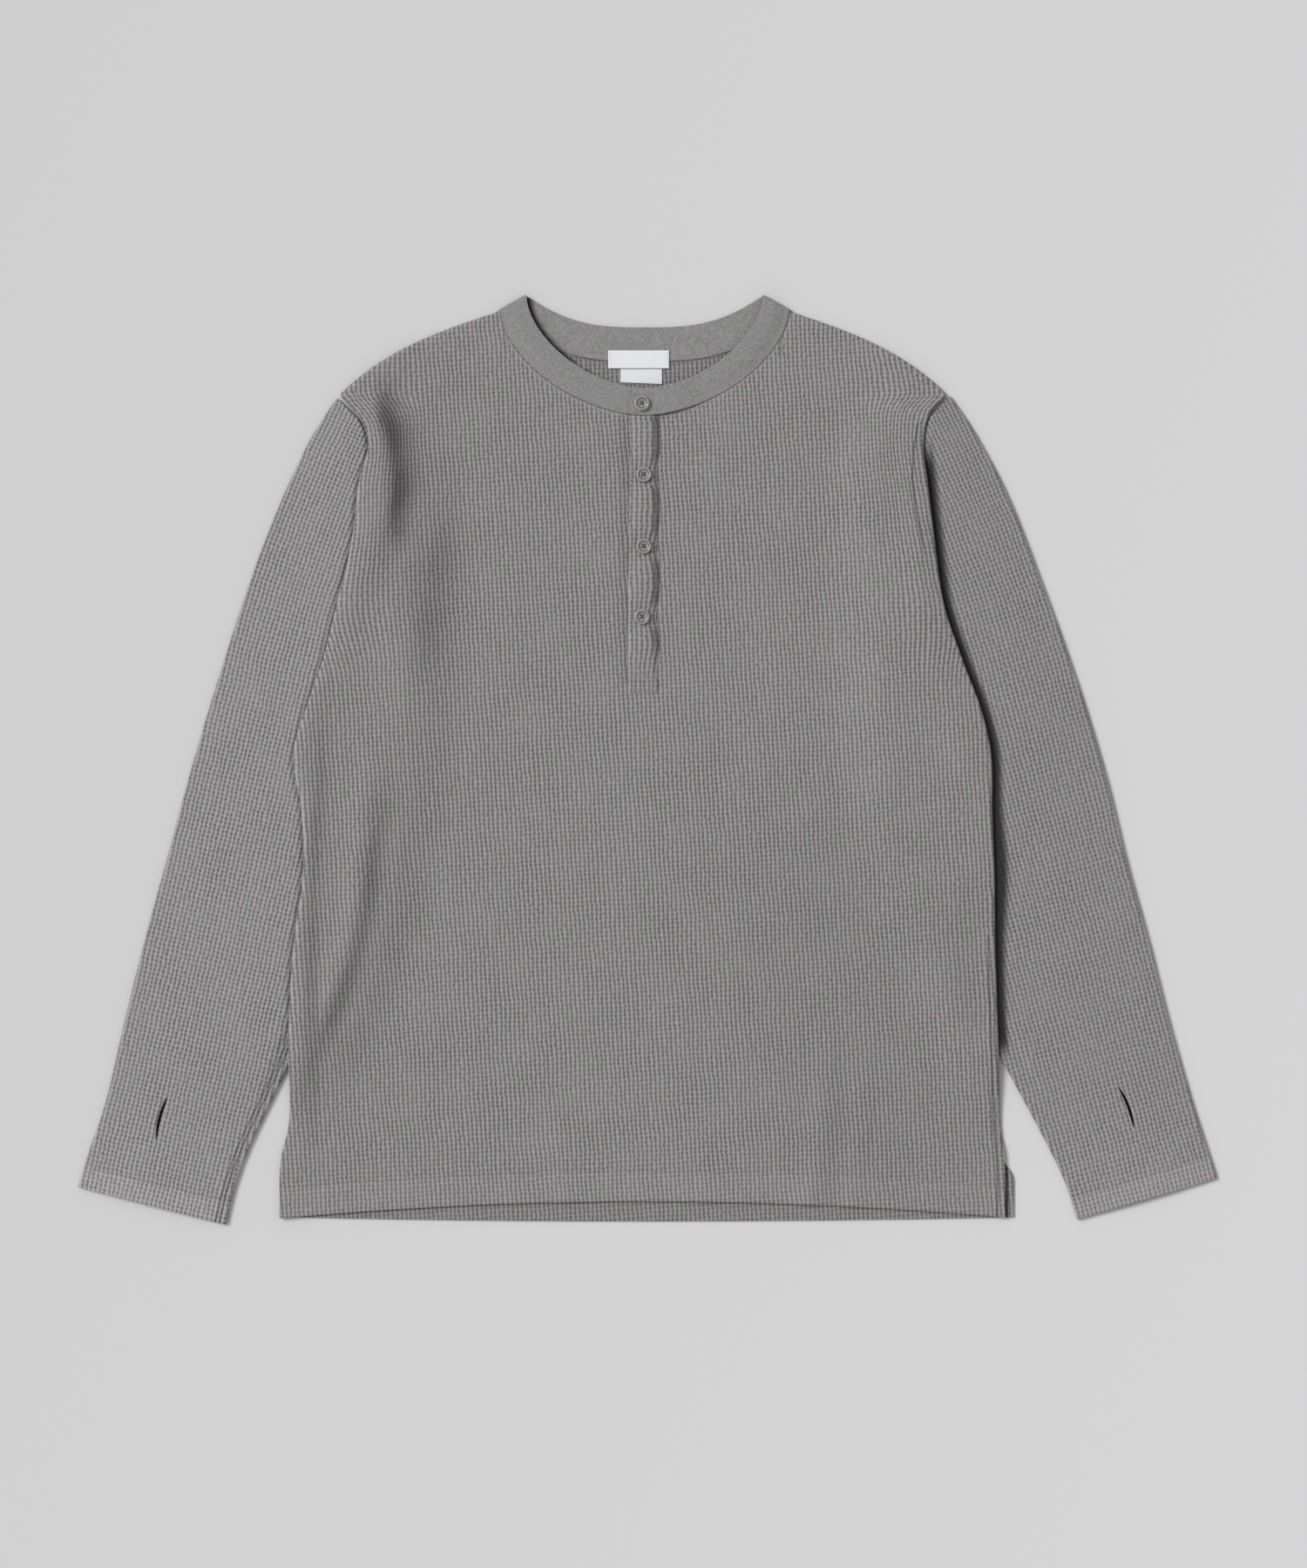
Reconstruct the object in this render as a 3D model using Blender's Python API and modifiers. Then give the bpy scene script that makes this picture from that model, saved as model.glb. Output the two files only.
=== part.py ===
"""A man's henley thermal top in waffle knit, laid flat on its back with its sleeves beside the body.

Sizes are in millimetres and are turned to metres where a mesh is made. +X is the wearer's left, +Y
points from the hem to the neck, +Z is up, and the origin is at the middle of the resting face's box.
The back panel lies lowest. The front panel lies on it and turns down round its side and shoulder
edges. Each sleeve is a flattened tube that passes under the body's side below the shoulder.
"""

import bmesh
import bpy
import numpy as np

MM = 0.001
WAFFLE = 1.8  # wall of the waffle knit
BAND = 2.4  # wall of the doubled neckband
AIR = 0.6  # air between two layers of cloth
SEAM = 0.4  # gap between two pieces at a seam
LAYER = WAFFLE + AIR
RIM = LAYER  # radius at which the front turns down round the back's edge

# The two sides of the body, from the hem's corner to the shoulder point, at the outer face.
BODY_SIDES_COLUMNS = "height right left"
BODY_SIDES = (
    (-342.0, -274.0, 266.5),
    (-293.0, -272.0, 265.5),
    (-279.0, -268.5, 264.0),
    (-214.0, -267.5, 261.5),
    (-141.0, -263.8, 259.2),
    (-84.0, -256.5, 258.5),
    (-40.0, -257.5, 257.0),
    (7.0, -263.5, 255.5),
    (33.0, -255.5, 249.5),
    (72.0, -242.0, 235.0),
    (115.0, -231.0, 220.5),
    (156.0, -221.0, 214.5),
    (206.0, -214.5, 208.5),
    (235.0, -208.0, 205.5),
    (249.0, -212.0, 207.5),
    (260.0, -220.0, 212.5),
    (270.5, -230.0, 224.0),
)
SHOULDER_BULGE = 10.0  # how far the shoulder line stands above its chord
SHOULDER_SKEW = 0.75  # below 1 moves the fullest place towards the sleeve

NECK_X = -2.0  # the neck's centre line
NECK_HALF = 107.5  # half the width between the neck points, at the band's seam
NECK_Y = 334.0  # height of the neck points
FRONT_DROP = 78.5  # from the neck points down to the front seam's lowest place
FRONT_ROUND = 1.72  # exponent of the superellipse of the front seam
BACK_DROP = 38.0
BAND_HALF = 88.0  # the same sizes at the band's free edge
BAND_Y = 344.5
BAND_FRONT_DROP = 68.5
BAND_BACK_DROP = 23.0
NECK_STEPS = 16  # columns from one neck point to the other
BAND_FOLD = 2.1  # radius of the band's half turn at each neck point

FRONT_HEM = -330.0  # at the centre; it falls to the corners
FRONT_HEM_FALL = 12.0
BACK_HEM = -345.0
BACK_HEM_RISE = 3.0
VENT_TOP = -293.0
BACK_INSET = 2.6  # the back's edge lies this far inside the front's turned rim
VENT_FLARE = (0.5, 7.0)  # how far the back shows outside the front below the vents
TURN_FROM = 0.075  # share of the height from which the front's sides turn down, just above the vents
TURN_RUN = 0.03

PLACKET_EDGES = (-13.6, 7.8)  # free edge and sewn edge, at the neck seam
PLACKET_SLIT_END = 55.0
PLACKET_END = 48.0
PUCKER = 0.8

LIFT = 4.8  # rise of both body panels where they lie on a sleeve
LIFT_FLAT = 15.0  # how far past the sleeve's hidden edge the rise stays full
LIFT_RUN = 45.0  # and how far it then takes to die away

# Stations of the two sleeves from cuff to shoulder: the outer edge and the inner edge, which lies
# under the body from the fourth station on.
SLEEVE_COLUMNS = "outer_x outer_y inner_x inner_y"
SLEEVE_RIGHT = (
    (-424.5, -319.5, -314.0, -347.5),
    (-416.0, -292.0, -307.0, -319.0),
    (-403.5, -255.0, -295.0, -286.5),
    (-389.5, -195.0, -268.0, -230.0),
    (-375.0, -136.0, -244.0, -172.5),
    (-359.0, -78.0, -222.0, -117.0),
    (-341.5, -13.0, -205.0, -52.0),
    (-320.0, 59.0, -197.0, 13.0),
    (-294.5, 137.0, -197.0, 72.0),
    (-271.5, 195.5, -193.0, 133.5),
    (-253.0, 234.5, -192.5, 189.0),
    (-240.0, 256.0, -197.0, 228.0),
    (-231.5, 269.0, -204.5, 241.0),
)
SLEEVE_LEFT = (
    (424.5, -312.5, 320.0, -343.5),
    (416.0, -286.0, 311.5, -316.5),
    (405.0, -252.0, 295.0, -282.0),
    (388.5, -193.5, 264.5, -224.5),
    (374.0, -136.0, 240.0, -170.0),
    (358.0, -78.0, 218.0, -114.0),
    (342.0, -13.0, 201.0, -49.0),
    (320.0, 59.0, 194.5, 13.0),
    (292.0, 137.0, 193.0, 72.0),
    (269.0, 195.5, 190.5, 133.5),
    (249.0, 234.5, 189.0, 189.0),
    (236.5, 255.0, 194.5, 228.0),
    (225.5, 270.5, 200.0, 242.0),
)
SLEEVE_STATIONS = 19
ARMPIT = 8.0  # station from which the hidden side of the sleeve is open, as the armhole
PUFF_NEAR = {"right": 1.6, "left": 4.2}  # fullness of the sleeve's top close to the body
PUFF_MID = 1.4

SLIT_LENGTH = 32.0
SLIT_WIDTH = 2.0
SLITS = {"right": (-361.5, -268.0, 15.0), "left": (357.0, -260.5, -20.0)}  # x, y, lean in degrees

BUTTON_RADIUS = 5.75
BUTTON_THICK = 2.4
HOLE_OUT = 1.5  # from the button's middle to the middle of each hole
HOLE_RADIUS = 0.65
BUTTON_SPOTS = ((-4.0, 264.5), (-2.6, 211.5), (-2.6, 158.0), (-3.9, 105.5))

LABEL_WALL = 1.0
MAIN_LABEL = (-29.2, 16.2, 290.8, 304.2)  # x from and to, y from and to
CARE_LABEL = (-20.0, 11.0, 280.0, 290.4)

# Broad soft ridges of the front: from x, y, to x, y, half width, height.
FOLD_COLUMNS = "x0 y0 x1 y1 spread rise"
FRONT_FOLDS = (
    (-225.0, 60.0, -196.0, 215.0, 13.0, 1.4),
    (-236.0, -180.0, -212.0, -40.0, 20.0, 1.0),
    (-168.0, 70.0, -150.0, 165.0, 22.0, 1.2),
    (232.0, 20.0, 196.0, 200.0, 13.0, 1.2),
    (120.0, -330.0, 132.0, -240.0, 14.0, 1.2),
    (150.0, -325.0, 156.0, -250.0, 12.0, 0.8),
)


def table(columns, rows):
    """The columns of a table as arrays, by name."""
    return dict(zip(columns.split(), np.array(rows, float).T))


def curve(at, places, values):
    """A smooth curve through (places, values): cubic pieces with the slope of each row's neighbours."""
    slopes = np.gradient(values, places)
    i = np.clip(np.searchsorted(places, at, side="right") - 1, 0, len(places) - 2)
    step = places[i + 1] - places[i]
    t = (at - places[i]) / step
    ends = values[i] * (1 + 2 * t) * (1 - t) ** 2 + values[i + 1] * t**2 * (3 - 2 * t)
    return ends + step * t * (1 - t) * (slopes[i] * (1 - t) - slopes[i + 1] * t)


def smooth(t):
    """0 below 0, 1 above 1, and an S between."""
    t = np.clip(t, 0, 1)
    return t * t * (3 - 2 * t)


SIDES = table(BODY_SIDES_COLUMNS, BODY_SIDES)
SLEEVES = {"right": table(SLEEVE_COLUMNS, SLEEVE_RIGHT), "left": table(SLEEVE_COLUMNS, SLEEVE_LEFT)}
SHOULDER_Y = SIDES["height"][-1]
CORNER_Y = SIDES["height"][0]
NECK_POINTS = (NECK_X - NECK_HALF, NECK_X + NECK_HALF)
TOP_WIDTH = SIDES["left"][-1] - SIDES["right"][-1]
NECK_FROM = (NECK_POINTS[0] - SIDES["right"][-1]) / TOP_WIDTH
NECK_TO = (NECK_POINTS[1] - SIDES["right"][-1]) / TOP_WIDTH


def front_seam(tau):
    """The front neck seam: a half superellipse, tau from -1 at one neck point to 1 at the other."""
    arch = (1 - np.abs(tau) ** FRONT_ROUND).clip(0) ** (1 / FRONT_ROUND)
    return NECK_X + NECK_HALF * tau, NECK_Y - FRONT_DROP * arch


def front_free(tau):
    arch = (1 - np.abs(tau) ** FRONT_ROUND).clip(0) ** (1 / FRONT_ROUND)
    return NECK_X + BAND_HALF * tau, BAND_Y - BAND_FRONT_DROP * arch


def back_seam(tau):
    """The back neck seam: a cubic dip between the neck points."""
    return NECK_X + NECK_HALF * tau, NECK_Y - BACK_DROP * (1 - np.abs(tau) ** 3)


def back_free(tau):
    return NECK_X + BAND_HALF * tau, BAND_Y - BAND_BACK_DROP * (1 - np.abs(tau) ** 3) ** 1.15


def top_edge(across, panel):
    """The top edge of a panel: a bulged shoulder, the neck seam, and the other shoulder."""
    tau = -1 + 2 * (across - NECK_FROM) / (NECK_TO - NECK_FROM)
    seam = front_seam if panel == "front" else back_seam
    neck_x, neck_y = seam(np.clip(tau, -1, 1))
    right = across < NECK_FROM
    run = np.where(right, across / NECK_FROM, (1 - across) / (1 - NECK_TO)).clip(0, 1)
    bulge = SHOULDER_BULGE * np.sin(np.pi * run**SHOULDER_SKEW)
    shoulder_y = SHOULDER_Y + run * (NECK_Y - SHOULDER_Y) + bulge
    shoulder_x = SIDES["right"][-1] + across * TOP_WIDTH
    on_neck = np.abs(tau) <= 1
    return np.where(on_neck, neck_x, shoulder_x), np.where(on_neck, neck_y - SEAM / 2, shoulder_y)


def hem(x, panel):
    """The hem's height: the front's falls to its corners, the back's rises to them."""
    out = (x / SIDES["left"][0]) ** 2
    return FRONT_HEM - FRONT_HEM_FALL * out if panel == "front" else BACK_HEM + BACK_HEM_RISE * out


def body_plan(across, up, panel):
    """A body panel's plan, across 0 to 1 from right side to left and up 0 to 1 from hem to top.

    The height is a straight blend of hem and top edge. So is x, with what each side's own curve
    adds to its chord, dying away as the cube of the distance from that side.
    """
    corners = SIDES["right"][0], SIDES["left"][0]
    hem_x = corners[0] + across * (corners[1] - corners[0])
    top_x, top_y = top_edge(across, panel)
    y = (1 - up) * hem(hem_x, panel) + up * top_y
    x = (1 - up) * hem_x + up * top_x
    side_y = CORNER_Y + up * (SHOULDER_Y - CORNER_Y)
    for side, near in (("right", 1 - across), ("left", across)):
        chord = SIDES[side][0] + up * (SIDES[side][-1] - SIDES[side][0])
        x = x + near**3 * (curve(side_y, SIDES["height"], SIDES[side]) - chord)
    return x, y


def hidden_edge(y, side):
    """How far towards the middle the sleeve's inner edge lies, at height y."""
    sleeve = SLEEVES[side]
    return np.interp(y, sleeve["inner_y"], sleeve["inner_x"])


def lift(x, y):
    """The rise of the body over both sleeves: full on a sleeve, then an S down to nothing."""
    rise = 0.0
    for side, turn in (("right", 1), ("left", -1)):
        past = turn * (x - hidden_edge(y, side))
        rise = rise + smooth((LIFT_FLAT + LIFT_RUN - past) / LIFT_RUN)
    ends = smooth((y + 280.0) / 60.0) * (0.3 + 0.7 * smooth((275.0 - y) / 22.0))
    return LIFT * rise.clip(0, 1) * ends


def folds(x, y):
    """The front's soft ridges: each is a bell across its line, fading past its ends."""
    rise = np.zeros_like(x)
    for fold in [dict(zip(FOLD_COLUMNS.split(), row)) for row in FRONT_FOLDS]:
        start = np.array([fold["x0"], fold["y0"]])
        run = np.array([fold["x1"], fold["y1"]]) - start
        length = np.hypot(*run)
        along = ((x - start[0]) * run[0] + (y - start[1]) * run[1]) / length
        across = ((x - start[0]) * run[1] - (y - start[1]) * run[0]) / length
        past = np.maximum(np.maximum(-along, along - length), 0)
        rise += fold["rise"] * np.exp(-((across / fold["spread"]) ** 2) - (past / 30.0) ** 2)
    return rise


def clear_scene():
    for thing in list(bpy.data.objects):
        bpy.data.objects.remove(thing)


def material(name, colour, roughness, metallic=0.0):
    made = bpy.data.materials.new(name)
    made.use_nodes = True
    shader = made.node_tree.nodes["Principled BSDF"]
    shader.inputs["Base Color"].default_value = (*colour, 1.0)
    shader.inputs["Roughness"].default_value = roughness
    shader.inputs["Metallic"].default_value = metallic
    return made


def add_object(name, mesh, collection, finish):
    thing = bpy.data.objects.new(name, mesh)
    collection.objects.link(thing)
    if finish:
        mesh.materials.append(finish)
    return thing


def grid_mesh(name, points, keep=None, ring=False):
    """A sheet through a grid of points, with its up side where columns run to +X as rows run to +Y."""
    rows, columns = points.shape[:2]
    number = np.arange(rows * columns).reshape(rows, columns)
    if ring:
        number = np.hstack([number, number[:, :1]])
    corners = number[:-1, :-1], number[:-1, 1:], number[1:, 1:], number[1:, :-1]
    faces = np.stack(corners, axis=-1)
    if keep is not None:
        faces = faces[keep]
    mesh = bpy.data.meshes.new(name)
    mesh.from_pydata((points.reshape(-1, 3) * MM).tolist(), [], faces.reshape(-1, 4).tolist())
    loose = bmesh.new()
    loose.from_mesh(mesh)
    bmesh.ops.delete(loose, geom=[v for v in loose.verts if not v.link_faces], context="VERTS")
    loose.to_mesh(mesh)
    loose.free()
    mesh.shade_smooth()
    return mesh


def thicken(thing, wall):
    solid = thing.modifiers.new("wall", "SOLIDIFY")
    solid.thickness = wall * MM
    solid.offset = 0.0


def rim_rows(weight):
    """Distances from an edge and drops below the panel: a quarter turn, or flat where weight is 0."""
    angles = np.radians([90.0, 45.0, 0.0])
    flat = np.array([0.0, 2.0, 4.0])
    half = WAFFLE / 2
    inward = weight[..., None] * (half + RIM * (1 - np.sin(angles))) + (1 - weight[..., None]) * flat
    drop = weight[..., None] * RIM * (1 - np.cos(angles))
    return inward, drop


def neck_taus():
    """Places along the neck seam, closer together at the neck points, where it turns fastest."""
    return np.sin(np.linspace(-np.pi / 2, np.pi / 2, NECK_STEPS + 1))


def column_places():
    """Places across a body panel: the shoulders, the neck's own places and the placket's two edges."""
    tau = np.concatenate([neck_taus(), (np.array(PLACKET_EDGES) - NECK_X) / NECK_HALF])
    tau = np.sort(tau[np.abs(tau) > 1e-9])
    on_neck = NECK_FROM + (tau + 1) / 2 * (NECK_TO - NECK_FROM)
    shoulder = np.linspace(0, 1, 6)[1:-1]
    return np.concatenate([shoulder * NECK_FROM, on_neck, NECK_TO + shoulder * (1 - NECK_TO)])


def row_places():
    slit_end = (PLACKET_SLIT_END - FRONT_HEM) / (NECK_Y - FRONT_DROP - FRONT_HEM)
    vent = (VENT_TOP - CORNER_Y) / (SHOULDER_Y - CORNER_Y)
    lower = np.linspace(vent, slit_end, 12)
    upper = np.linspace(slit_end, 1.0, 10)[1:-1]
    return np.concatenate([[0.0, vent / 2], lower, upper]), slit_end


def panel_points(panel):
    """A body panel's mid surface: plan, rise over the sleeves, and the rim round sides and shoulders."""
    columns = column_places()
    rows, _ = row_places()
    height = SHOULDER_Y - CORNER_Y
    width = SIDES["left"][3] - SIDES["right"][3]
    on_side = smooth((rows - TURN_FROM) / TURN_RUN)
    top_weight = np.where((columns < NECK_FROM - 1e-6) | (columns > NECK_TO + 1e-6), 1.0, 0.0)
    side_in, side_drop = rim_rows(np.append(on_side, np.ones(3)))
    top_in, top_drop = rim_rows(top_weight)
    inset = BACK_INSET if panel == "back" else 0.0
    if panel == "back":
        side_in, side_drop = side_in + inset, side_drop * 0
        top_in, top_drop = top_in + 1.2 * inset * top_weight[:, None], top_drop * 0
    inner = np.tile(columns, (len(rows) + 3, 1))
    across = np.hstack([side_in / width, inner, 1 - side_in[:, ::-1] / width])
    top_in = np.vstack([np.tile(top_in[:1], (3, 1)), top_in, np.tile(top_in[-1:], (3, 1))])
    top_drop = np.vstack([np.tile(top_drop[:1], (3, 1)), top_drop, np.tile(top_drop[-1:], (3, 1))])
    up = np.vstack([np.tile(rows[:, None], (1, across.shape[1])), 1 - (top_in[:, ::-1] / height).T])
    drop = np.hstack([side_drop, np.zeros((len(rows) + 3, len(columns))), side_drop[:, ::-1]])
    drop[len(rows):] += top_drop[:, ::-1].T
    x, y = body_plan(across, up, panel)
    if panel == "back":
        flare = smooth((VENT_TOP - 1.0 - y) / 20.0)
        flare_right, flare_left = VENT_FLARE
        x = x - flare * (1 - across) ** 6 * (inset + flare_right)
        x = x + flare * across**6 * (inset + flare_left)
    base = WAFFLE / 2 + (LAYER if panel == "front" else 0.0)
    z = base + lift(x, y) - drop.clip(0, RIM)
    if panel == "front":
        z = z + folds(x, y)
    return np.stack([x, y, z], axis=-1), columns


def make_back(collection):
    """The back panel: one cut of waffle, from hem to neck seam."""
    points, _ = panel_points("back")
    finish = material("back waffle knit", (0.225, 0.215, 0.218), 0.95)
    thicken(add_object("back", grid_mesh("back", points), collection, finish), WAFFLE)


def make_front(collection):
    """The front panel, cut open down the middle for the placket."""
    points, columns = panel_points("front")
    rows, slit_end = row_places()
    edges = NECK_FROM + ((np.array(PLACKET_EDGES) - NECK_X) / NECK_HALF + 1) / 2 * (NECK_TO - NECK_FROM)
    first, last = 3 + np.searchsorted(columns, edges - 1e-9)
    keep = np.ones((points.shape[0] - 1, points.shape[1] - 1), bool)
    keep[np.searchsorted(rows, slit_end - 1e-9):, first:last] = False
    finish = material("front waffle knit", (0.235, 0.225, 0.228), 0.95)
    thicken(add_object("front", grid_mesh("front", points, keep), collection, finish), WAFFLE)


def strip_points(x_from, x_to, y_from, y_to, rise, pucker, steps):
    """A placket strip on the front: the panel's own plan between two columns, moved up by rise."""
    tau = (np.linspace(x_from, x_to, 4) - NECK_X) / NECK_HALF
    across = NECK_FROM + (tau + 1) / 2 * (NECK_TO - NECK_FROM)
    top = front_seam(tau)[1] - SEAM
    low = np.full(4, y_from)
    share = np.linspace(0, 1, steps)[:, None]
    y = low + share * (np.minimum(top, y_to) - low)
    hem_y = hem(across * 0, "front")
    up = (y - hem_y) / (front_seam(tau)[1] - SEAM / 2 - hem_y)
    x, _ = body_plan(np.broadcast_to(across, up.shape), up, "front")
    wave = np.sin(2 * np.pi * share * (steps - 1) / 4) ** 2 * np.linspace(0.3, 1, 4)
    z = WAFFLE / 2 + LAYER + rise + pucker * wave
    return np.stack([x, y, z], axis=-1)


def make_plackets(collection):
    """Two strips: the under one fills the slit, the upper one laps over it and is sewn at its left edge."""
    edge_from, edge_to = PLACKET_EDGES
    under = strip_points(edge_from + SEAM, edge_to - SEAM, PLACKET_SLIT_END + 1.0, 999.0, 0.0, 0.0, 14)
    upper = strip_points(edge_from, edge_to, PLACKET_END, 999.0, WAFFLE + 0.4, PUCKER, 17)
    finish = material("placket waffle knit", (0.235, 0.225, 0.228), 0.95)
    for name, points in (("placket_under", under), ("placket_upper", upper)):
        thicken(add_object(name, grid_mesh(name, points), collection, finish), WAFFLE)


def band_stations():
    """The neckband's stations: seam edge, free edge and mid height, once round from end to end.

    It starts under the front's middle, runs to the right neck point, turns over, crosses the back,
    turns over again and ends on top of its own start.
    """
    taus = neck_taus()
    half_wall = BAND / 2
    low = WAFFLE + AIR + half_wall
    peak = half_wall + 2 * BAND_FOLD
    start, end = ((np.array(PLACKET_EDGES)[::-1] - NECK_X) / NECK_HALF) + (-0.006, 0.0)
    first = np.concatenate([[start], taus[(taus < start - 0.02)][::-1]])
    last = np.concatenate([taus[taus > 0.05][::-1], [0.13, start + 0.012, 0.0, end]])
    last = np.sort(np.unique(last))[::-1]
    rows = []
    for tau in first:
        height = low + (peak - low) * smooth((abs(tau) - 0.3) / 0.6)
        rows.append((*front_seam(tau), *front_free(tau), height))
    rows += band_turn(-1)
    for tau in taus[1:-1]:
        rows.append((*back_seam(tau), *back_free(tau), half_wall))
    rows += band_turn(1)
    for tau in last:
        over = low + BAND + 0.3
        height = low + (peak - low) * smooth((tau - 0.3) / 0.6)
        height += (over - low) * smooth((0.5 - tau) / 0.36)
        rows.append((*front_seam(tau), *front_free(tau), height))
    return np.array(rows, float)


def band_turn(side):
    """The half turn at a neck point, about the line from the seam's end to the free edge's end."""
    seam = np.array([NECK_X + side * NECK_HALF, NECK_Y])
    free = np.array([NECK_X + side * BAND_HALF, BAND_Y])
    along = (free - seam) / np.hypot(*(free - seam))
    out = np.array([side * along[1], -side * along[0]])
    out = out * np.sign(out[1])
    angles = np.radians([45.0, 0.0, -45.0])
    if side > 0:
        angles = angles[::-1]
    rows = []
    for angle in angles:
        push = out * BAND_FOLD * np.cos(angle)
        rows.append((*(seam + push), *(free + push), BAND / 2 + BAND_FOLD * (1 + np.sin(angle))))
    back = (*seam, *free, BAND / 2)
    front = (*seam, *free, BAND / 2 + 2 * BAND_FOLD)
    return rows + [back] if side < 0 else [back] + rows


def make_neckband(collection):
    """The neckband: one doubled strip of fine rib round the neck opening."""
    stations = band_stations()
    share = np.array([0.0, 0.5, 1.0])[:, None]
    seam, free = stations[:, 0:2], stations[:, 2:4]
    inward = (free - seam) / np.linalg.norm(free - seam, axis=1, keepdims=True)
    seam = seam + inward * SEAM / 2
    plan = seam[None] + share[:, :, None] * (free - seam)[None]
    height = np.broadcast_to(stations[None, :, 4:5], plan.shape[:2] + (1,))
    points = np.concatenate([plan, height], axis=-1)
    finish = material("neckband rib knit", (0.245, 0.238, 0.24), 0.9)
    thicken(add_object("neckband", grid_mesh("neckband", points), collection, finish), BAND)


def sleeve_lines(side):
    """Stations of a sleeve: outer edge, the place under the body's edge, and inner edge."""
    rows = SLEEVES[side]
    places = np.arange(len(rows["outer_x"]), dtype=float)
    at = np.linspace(0, places[-1], SLEEVE_STATIONS)
    outer = np.stack([curve(at, places, rows["outer_x"]), curve(at, places, rows["outer_y"])], axis=-1)
    inner = np.stack([curve(at, places, rows["inner_x"]), curve(at, places, rows["inner_y"])], axis=-1)
    turn = 1 if side == "right" else -1
    share = np.full(len(at), 0.9)
    for _ in range(30):
        spot = outer + share[:, None] * (inner - outer)
        edge = curve(spot[:, 1], SIDES["height"], SIDES[side]) - turn * 2.0
        share = share + 0.7 * (edge - spot[:, 0]) / (inner - outer)[:, 0]
        share = share.clip(0.5, 0.9)
    return at, outer, outer + share[:, None] * (inner - outer), inner


def sleeve_points(side):
    """A sleeve's rings: bottom layer, a half turn at each edge, and a top layer, fuller by the body."""
    at, outer, edge, inner = sleeve_lines(side)
    half = LAYER / 2
    centre = WAFFLE / 2 + half
    width = np.linalg.norm(inner - outer, axis=1)
    to_inner = (inner - outer) / width[:, None]
    visible = np.linalg.norm(edge - outer, axis=1)
    turn = WAFFLE / 2 + half
    near = PUFF_NEAR[side] * smooth((at - 2.0) / 2.5) * smooth((12.4 - at) / 1.5)
    top = []
    for share in (0.12, 0.32, 0.58, 0.8):
        top.append((turn + share * (visible - turn), PUFF_MID * np.sin(np.pi * share) + near * share**2))
    top.append((visible - 7.0, near * 0.9))
    top.append((visible, 0.0 * at))
    top.append((visible + 0.5 * (width - turn - visible), 0.0 * at))
    bottom = [(turn + share * (width - 2 * turn), 0.0 * at) for share in (0.75, 0.5, 0.25)]
    ring = []
    for angle in np.radians([-90, -45, 0, 45, 90]):
        ring.append((turn - half * np.cos(angle), centre + half * np.sin(angle) + 0 * at))
    ring += [(place, centre + half + rise) for place, rise in top]
    for angle in np.radians([90, 45, 0, -45, -90]):
        ring.append((width - turn + half * np.cos(angle), centre + half * np.sin(angle) + 0 * at))
    ring += [(place, centre - half + rise) for place, rise in bottom]
    points = []
    for place, height in ring:
        plan = outer + to_inner * (np.zeros(len(at)) + place)[:, None]
        points.append(np.concatenate([plan, height[:, None]], axis=-1))
    return at, np.stack(points, axis=1)


def make_sleeve(side, collection, helpers):
    """A sleeve: one tube of waffle, open at the cuff and along its armhole, with a slit for the thumb."""
    at, points = sleeve_points(side)
    if side == "left":
        points = points[:, ::-1]
    keep = np.ones((points.shape[0] - 1, points.shape[1]), bool)
    fold = np.arange(11, 16) if side == "right" else points.shape[1] - 2 - np.arange(11, 16)
    keep[np.ix_(at[:-1] >= ARMPIT, fold)] = False
    name = f"sleeve_{side}"
    finish = material(f"{side} sleeve waffle knit", (0.25, 0.243, 0.246), 0.95)
    sleeve = add_object(name, grid_mesh(name, points, keep, ring=True), collection, finish)
    thicken(sleeve, WAFFLE)
    x, y, lean = SLITS[side]
    cutter = slit_cutter(f"{name}_slit", helpers)
    cutter.location = (x * MM, y * MM, (WAFFLE + AIR / 2) * MM)
    cutter.rotation_euler = (0, 0, -np.radians(lean))
    cut = sleeve.modifiers.new("thumb slit", "BOOLEAN")
    cut.operation = "DIFFERENCE"
    cut.object = cutter


def slit_cutter(name, helpers):
    """A narrow block with pointed ends, standing on its origin."""
    half_width, half_length = SLIT_WIDTH / 2, SLIT_LENGTH / 2
    outline = [(0, -half_length), (half_width, -half_length + 5), (half_width, half_length - 5)]
    outline += [(-x, -y) for x, y in outline]
    shape = bmesh.new()
    verts = [shape.verts.new((x * MM, y * MM, 0)) for x, y in outline]
    face = shape.faces.new(verts)
    raised = bmesh.ops.extrude_face_region(shape, geom=[face])
    top = [item for item in raised["geom"] if isinstance(item, bmesh.types.BMVert)]
    bmesh.ops.translate(shape, verts=top, vec=(0, 0, 12 * MM))
    bmesh.ops.recalc_face_normals(shape, faces=shape.faces)
    mesh = bpy.data.meshes.new(name)
    shape.to_mesh(mesh)
    shape.free()
    cutter = add_object(name, mesh, helpers, None)
    cutter.hide_render = True
    cutter.display_type = "WIRE"
    return cutter


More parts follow.
